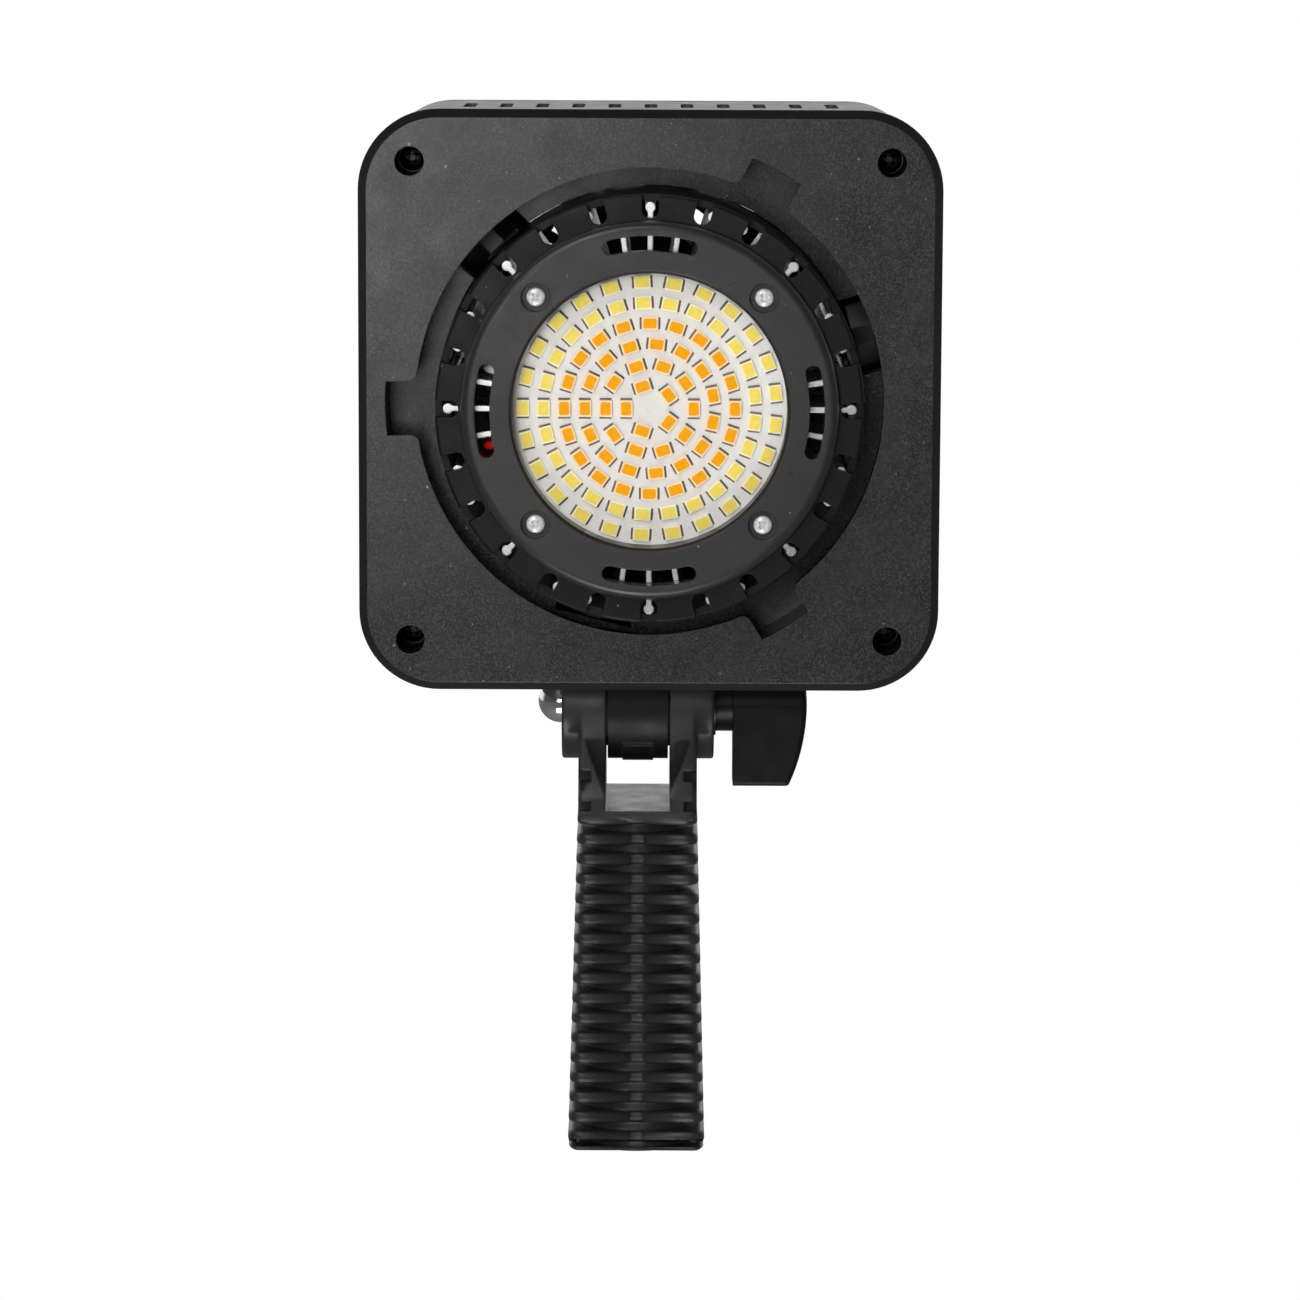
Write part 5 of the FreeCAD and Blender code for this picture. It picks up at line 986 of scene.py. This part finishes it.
@dataclass
class LightPackage:
    """One surface-mounted package: a pale case, a phosphor window and two soldered ends."""

    rim_share: float
    length: float = 3.5 * MM
    width: float = 2.8 * MM
    height: float = 0.8 * MM
    case_bevel: float = 0.12 * MM
    bevel_segments: int = 2
    window_rise: float = 0.03 * MM
    window_root: float = 0.9
    window_taper: float = 0.96
    clip_share: float = 0.8
    end_reach: float = 0.42 * MM
    end_half: float = 0.44
    end_rise: float = 0.3
    toe_half: float = 0.95
    toe_rise: float = 0.25

    def case(self, name: str) -> Piece:
        """Build the case, which stands on the board at the origin and looks towards -Y.

        Args:
            name: The case's name.

        Returns:
            The case.
        """
        low = Vector((-self.width / 2, -self.height, -self.length / 2))
        high = Vector((self.width / 2, 0.0, self.length / 2))
        return wrapped(name, block_shape(low, high, self.case_bevel, self.bevel_segments))

    def window(self, name: str) -> Piece:
        """Build the window, proud of the case by a hair, with clipped corners.

        Args:
            name: The window's name.

        Returns:
            The window.
        """
        rim = self.width * self.rim_share
        half_x, half_z = self.width / 2 - rim, self.length / 2 - rim
        clip = rim * self.clip_share
        outline = [(-half_x, -half_z + clip), (-half_x + clip, -half_z), (half_x - clip, -half_z),
                   (half_x, -half_z + clip), (half_x, half_z - clip), (half_x - clip, half_z),
                   (-half_x + clip, half_z), (-half_x, half_z - clip)]
        root, face = -self.height * self.window_root, -self.height - self.window_rise
        shape = bmesh.new()
        add_prism(shape, [(x, root, z) for x, z in outline],
                  [(x * self.window_taper, face, z * self.window_taper) for x, z in outline])
        return wrapped(name, shape)

    def ends(self, name: str) -> Piece:
        """Build the two solder fillets at the ends.

        Args:
            name: The name of the pair.

        Returns:
            The pair.
        """
        half, rise = self.width * self.end_half, self.height * self.end_rise
        toe, low = half * self.toe_half, rise * self.toe_rise
        shape = bmesh.new()
        for side in (-1, 1):
            near, far = self.length / 2 * side, (self.length / 2 + self.end_reach) * side
            add_prism(shape, [(-half, 0.0, near), (half, 0.0, near), (half, 0.0, far), (-half, 0.0, far)],
                      [(-half, -rise, near), (half, -rise, near), (toe, -low, far), (-toe, -low, far)])
        return wrapped(name, shape)


@dataclass
class Lamp:
    """The drum, the bezel, the board with its packages and the heat sink."""

    repeater: Repeater
    first_ring: float = 4.88 * MM
    ring_pitch: float = 4.31 * MM
    warm_counts: tuple[int, ...] = (5, 10, 15, 20)
    cool_counts: tuple[int, ...] = (25, 25)
    warm_rim: float = 0.12
    cool_rim: float = 0.1
    screw_radius: float = 33.4 * MM
    screw: CrossScrew = CrossScrew(1.9 * MM, 1.3 * MM, 1.2 * MM, 8.0 * MM)

    def build(self) -> None:
        """Dress the lamp and build its packages and screws."""
        dress(Finishes.DRUM, "lamp_drum")
        dress(Finishes.BEZEL, "lamp_bezel")
        dress(Finishes.SINK, "heat_sink")
        dress(Finishes.BOARD, "led_board")
        dress(Finishes.PAD, "thermal_pad")
        dress(Finishes.BLACK_OXIDE, "drum_screws")
        dress(Finishes.RED_JACKET, "led_lead_red")
        dress(Finishes.WHITE_JACKET, "led_lead_white")
        self.build_packages("warm", self.warm_counts, 0, self.warm_rim, Finishes.WARM_CASE,
                            Finishes.WARM_GEL)
        self.build_packages("cool", self.cool_counts, len(self.warm_counts), self.cool_rim,
                            Finishes.COOL_CASE, Finishes.COOL_GEL)
        middle = head_centre()
        centre = Vector((middle.x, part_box("bezel_screws")[0].y, middle.z))
        self.screw.fit(self.repeater, "bezel_cross_screws", Facing.FRONT, self.screw_radius, centre,
                       Finishes.SILVER, "silver_screws", "bezel_screws")

    def build_packages(self, kind: str, counts: Sequence[int], first: int, rim_share: float,
                       case: Finish, gel: Finish) -> None:
        """Build the packages of one colour.

        Args:
            kind: The name of the colour.
            counts: The packages in each ring.
            first: The number of the first ring.
            rim_share: The width of the case's rim, as a share of the package's width.
            case: The finish of the cases.
            gel: The finish of the windows.
        """
        package = LightPackage(rim_share)
        parts = ((package.case(f"{kind}_case"), case), (package.window(f"{kind}_window"), gel),
                 (package.ends(f"{kind}_ends"), Finishes.SOLDER))
        middle = head_centre()
        centre = Vector((middle.x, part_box("led_board")[0].y, middle.z))
        rings = [Ring(unit, finish, count, self.first_ring + self.ring_pitch * number, centre)
                 for number, count in enumerate(counts, start=first) for unit, finish in parts]
        piece = self.repeater.piece(f"{kind}_packages", rings)
        seat(piece, "head", f"{kind}_phosphor", f"{kind}_leds")
        for unit, _ in parts:
            bpy.data.objects.remove(unit)


@dataclass
class Body:
    """The housing, its rear cover and the fan."""

    repeater: Repeater
    fan_square: float = 60.0 * MM
    cover_screw: CrossScrew = CORNER_SCREW
    fan_screw: CrossScrew = CrossScrew(3.1 * MM, 1.8 * MM, 1.8 * MM, 11.0 * MM)

    def build(self) -> None:
        """Dress the shell and build the screws of its back."""
        dress(Finishes.HOUSING, "housing")
        dress(Finishes.COVER, "rear_cover")
        dress(Finishes.FAN, "fan_frame", "fan_rotor")
        dress(Finishes.BLACK_JACKET, "fan_lead")
        middle = head_centre()
        rows = (("cover_cross_screws", self.cover_screw, CORNER_SQUARE, middle.z, "rear_cover_screws"),
                ("fan_cross_screws", self.fan_screw, self.fan_square, node_centre("fan_frame").z,
                 "fan_screws"))
        for name, screw, square, height, node in rows:
            centre = Vector((middle.x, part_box(node)[1].y, height))
            screw.fit(self.repeater, name, Facing.BACK, square / math.sqrt(2), centre,
                      Finishes.BLACK_OXIDE, "dark_screws", node)


@dataclass
class Controls:
    """The dials, buttons, display and sockets on the back, and the boards behind them."""

    repeater: Repeater
    tick_count: int = 10
    tick_sweep: float = math.radians(270.0)
    tick_radius: float = 10.8 * MM
    tick_length: float = 1.2 * MM
    tick_width: float = 0.5 * MM
    tick_rise: float = 0.15 * MM

    def build(self) -> None:
        """Dress the controls and build the marks round the dials."""
        dress(Finishes.KNOB, "brightness_dial", "colour_dial")
        dress(Finishes.STEEL, "brightness_shaft", "colour_shaft", "encoders", "inlet_nut")
        dress(Finishes.SWITCH, "mode_button", "channel_button", "tact_switches", "rocker_frame",
              "power_rocker", "inlet_jack", "display_module")
        dress(Finishes.GLASS, "display_window")
        dress(Finishes.GREEN, "control_board", "driver_board")
        dress(Finishes.SILVER, "control_board_screws", "driver_board_screws")
        dress(Finishes.CAN, "driver_capacitors")
        dress(Finishes.COPPER, "driver_inductor")
        dress(Finishes.TERMINAL, "terminal_block")
        dress(Finishes.BLACK_JACKET, "control_lead", "power_leads")
        self.build_marks()

    def build_marks(self) -> None:
        """Build the plain ticks round both dials, clear of the buttons beside them."""
        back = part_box("rear_cover")[1].y
        corner = Vector((self.tick_length / 2, self.tick_rise, self.tick_width / 2))
        unit = wrapped("tick", block_shape(-corner, corner))
        start = QUARTER_TURN + self.tick_sweep / 2
        step = -self.tick_sweep / (self.tick_count - 1)
        rings = []
        for dial in ("brightness_dial", "colour_dial"):
            middle = node_centre(dial)
            centre = Vector((middle.x, back, middle.z))
            rings.append(Ring(unit, Finishes.MARK, self.tick_count, self.tick_radius, centre, start, step))
        seat(self.repeater.piece("dial_marks", rings), "head", "white_wire")
        bpy.data.objects.remove(unit)


# Camera and lamps

@dataclass(frozen=True)
class Softbox:
    """A square lamp that looks at one point."""

    name: str
    place: Triple
    size: float
    power: float
    spread: float = math.pi
    in_reflections: bool = True

    def build(self, target: Vector) -> None:
        """Stand the lamp in the scene.

        Args:
            target: The point that it looks at.
        """
        data = bpy.data.lights.new(self.name, "AREA")
        data.shape = "SQUARE"
        data.size = self.size
        data.energy = self.power
        data.spread = self.spread
        lamp = bpy.data.objects.new(self.name, data)
        bpy.context.scene.collection.objects.link(lamp)
        place = Vector(self.place)
        aim = (target - place).to_track_quat("-Z", "Y")
        lamp.matrix_world = Matrix.Translation(place) @ aim.to_matrix().to_4x4()
        lamp.visible_glossy = self.in_reflections


@dataclass
class Studio:
    """The camera, the lamps, the floor and the pale surroundings."""

    HEAD_LAMPS: ClassVar[Sequence[Softbox]] = (
        Softbox("key_softbox", (-0.17, -1.1, 0.22), 0.3, 1.1),
        Softbox("front_softbox", (-0.23, -1.5, 0.42), 0.4, 9.5, in_reflections=False),
    )
    GRIP_LAMPS: ClassVar[Sequence[Softbox]] = (
        Softbox("high_softbox", (-0.3, -0.85, 0.85), 0.5, 3.5),
        Softbox("low_softbox", (-0.1, -0.75, -0.75), 0.5, 1.2, QUARTER_TURN),
    )
    FLOOR_TEXTURE: ClassVar[Texture] = Texture(1.0, 3.0)

    picture_width: int = 1300
    focal_pixels: float = 5045.0
    sensor: float = 36.0
    nearest: float = 0.05
    camera_place: Triple = (0.0026, -1.105, 0.2709)
    pitch_down: float = math.radians(8.3)
    roll: float = math.radians(0.25)
    white_side: Triple = (0.0, 1.0, -0.1)
    white_from: float = 0.5
    dim_level: float = 0.08
    floor_height: float = -0.95
    floor_size: float = 12.0
    floor_grey: float = 0.35
    floor_scale: float = 30.0
    floor_roughness: Span = (0.7, 0.85)

    def build(self) -> None:
        """Set up everything that isn't part of the object."""
        bpy.context.scene.view_settings.view_transform = "Standard"
        self.build_camera()
        self.build_world()
        self.build_floor()
        for lamps, target in ((self.HEAD_LAMPS, head_centre()), (self.GRIP_LAMPS, node_centre("grip"))):
            for lamp in lamps:
                lamp.build(target)
        log.info("built the studio")

    def build_camera(self) -> None:
        """Stand the camera where the photograph was taken from."""
        data = bpy.data.cameras.new("camera")
        data.sensor_width = self.sensor
        data.lens = self.focal_pixels * self.sensor / self.picture_width
        data.clip_start = self.nearest
        camera = bpy.data.objects.new("camera", data)
        bpy.context.scene.collection.objects.link(camera)
        turn = Matrix.Rotation(QUARTER_TURN - self.pitch_down, 4, "X") @ Matrix.Rotation(self.roll, 4, "Z")
        camera.matrix_world = Matrix.Translation(self.camera_place) @ turn
        bpy.context.scene.camera = camera

    def build_world(self) -> None:
        """Show white surroundings behind and below, and dim ones ahead and above."""
        world = bpy.data.worlds.new("surroundings")
        world.use_nodes = True
        nodes = NodeTree(world.node_tree)
        side = nodes.add("ShaderNodeVectorMath", operation="DOT_PRODUCT")
        side.inputs[1].default_value = self.white_side
        nodes.link(nodes.add("ShaderNodeTexCoord").outputs["Generated"], side.inputs[0])
        pale = nodes.spread(side.outputs["Value"], self.dim_level, 1.0, 0.0, self.white_from)
        pale.node.interpolation_type = "SMOOTHSTEP"
        path = nodes.add("ShaderNodeLightPath").outputs
        seen = nodes.math("MAXIMUM", path["Is Camera Ray"], path["Is Transmission Ray"])
        background = nodes.add("ShaderNodeBackground")
        background.inputs["Color"].default_value = (1.0, 1.0, 1.0, 1.0)
        nodes.link(nodes.math("MAXIMUM", seen, pale), background.inputs["Strength"])
        nodes.link(background.outputs[0], nodes.add("ShaderNodeOutputWorld").inputs["Surface"])
        bpy.context.scene.world = world

    def build_floor(self) -> None:
        """Lay a plain floor far below the grip, which the camera sees as white."""
        shape = bmesh.new()
        bmesh.ops.create_grid(shape, x_segments=1, y_segments=1, size=self.floor_size)
        bmesh.ops.translate(shape, verts=shape.verts, vec=(0.0, 0.0, self.floor_height))
        floor = wrapped("floor", shape)
        shader = Shader("pale_floor")
        shader.surface.inputs["Base Color"].default_value = (*[self.floor_grey] * 3, 1.0)
        roughness = self.FLOOR_TEXTURE.spread(shader, self.floor_scale, *self.floor_roughness)
        shader.link(roughness, shader.surface.inputs["Roughness"])
        glow = shader.add("ShaderNodeEmission")
        path = shader.add("ShaderNodeLightPath")
        blend = shader.add("ShaderNodeMixShader")
        shader.link(path.outputs["Is Camera Ray"], blend.inputs["Fac"])
        shader.link(shader.surface.outputs["BSDF"], blend.inputs[1])
        shader.link(glow.outputs["Emission"], blend.inputs[2])
        shader.link(blend.outputs[0], shader.output.inputs["Surface"])
        floor.data.materials.append(shader.material)


def main() -> None:
    """Build the looks of the light, sub-assembly by sub-assembly."""
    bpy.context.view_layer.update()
    repeater = Repeater()
    GripAssembly().build()
    TiltJoint().build()
    FrontFace(repeater).build()
    Lamp(repeater).build()
    Body(repeater).build()
    Controls(repeater).build()
    Studio().build()


if __name__ == "__main__":
    main()
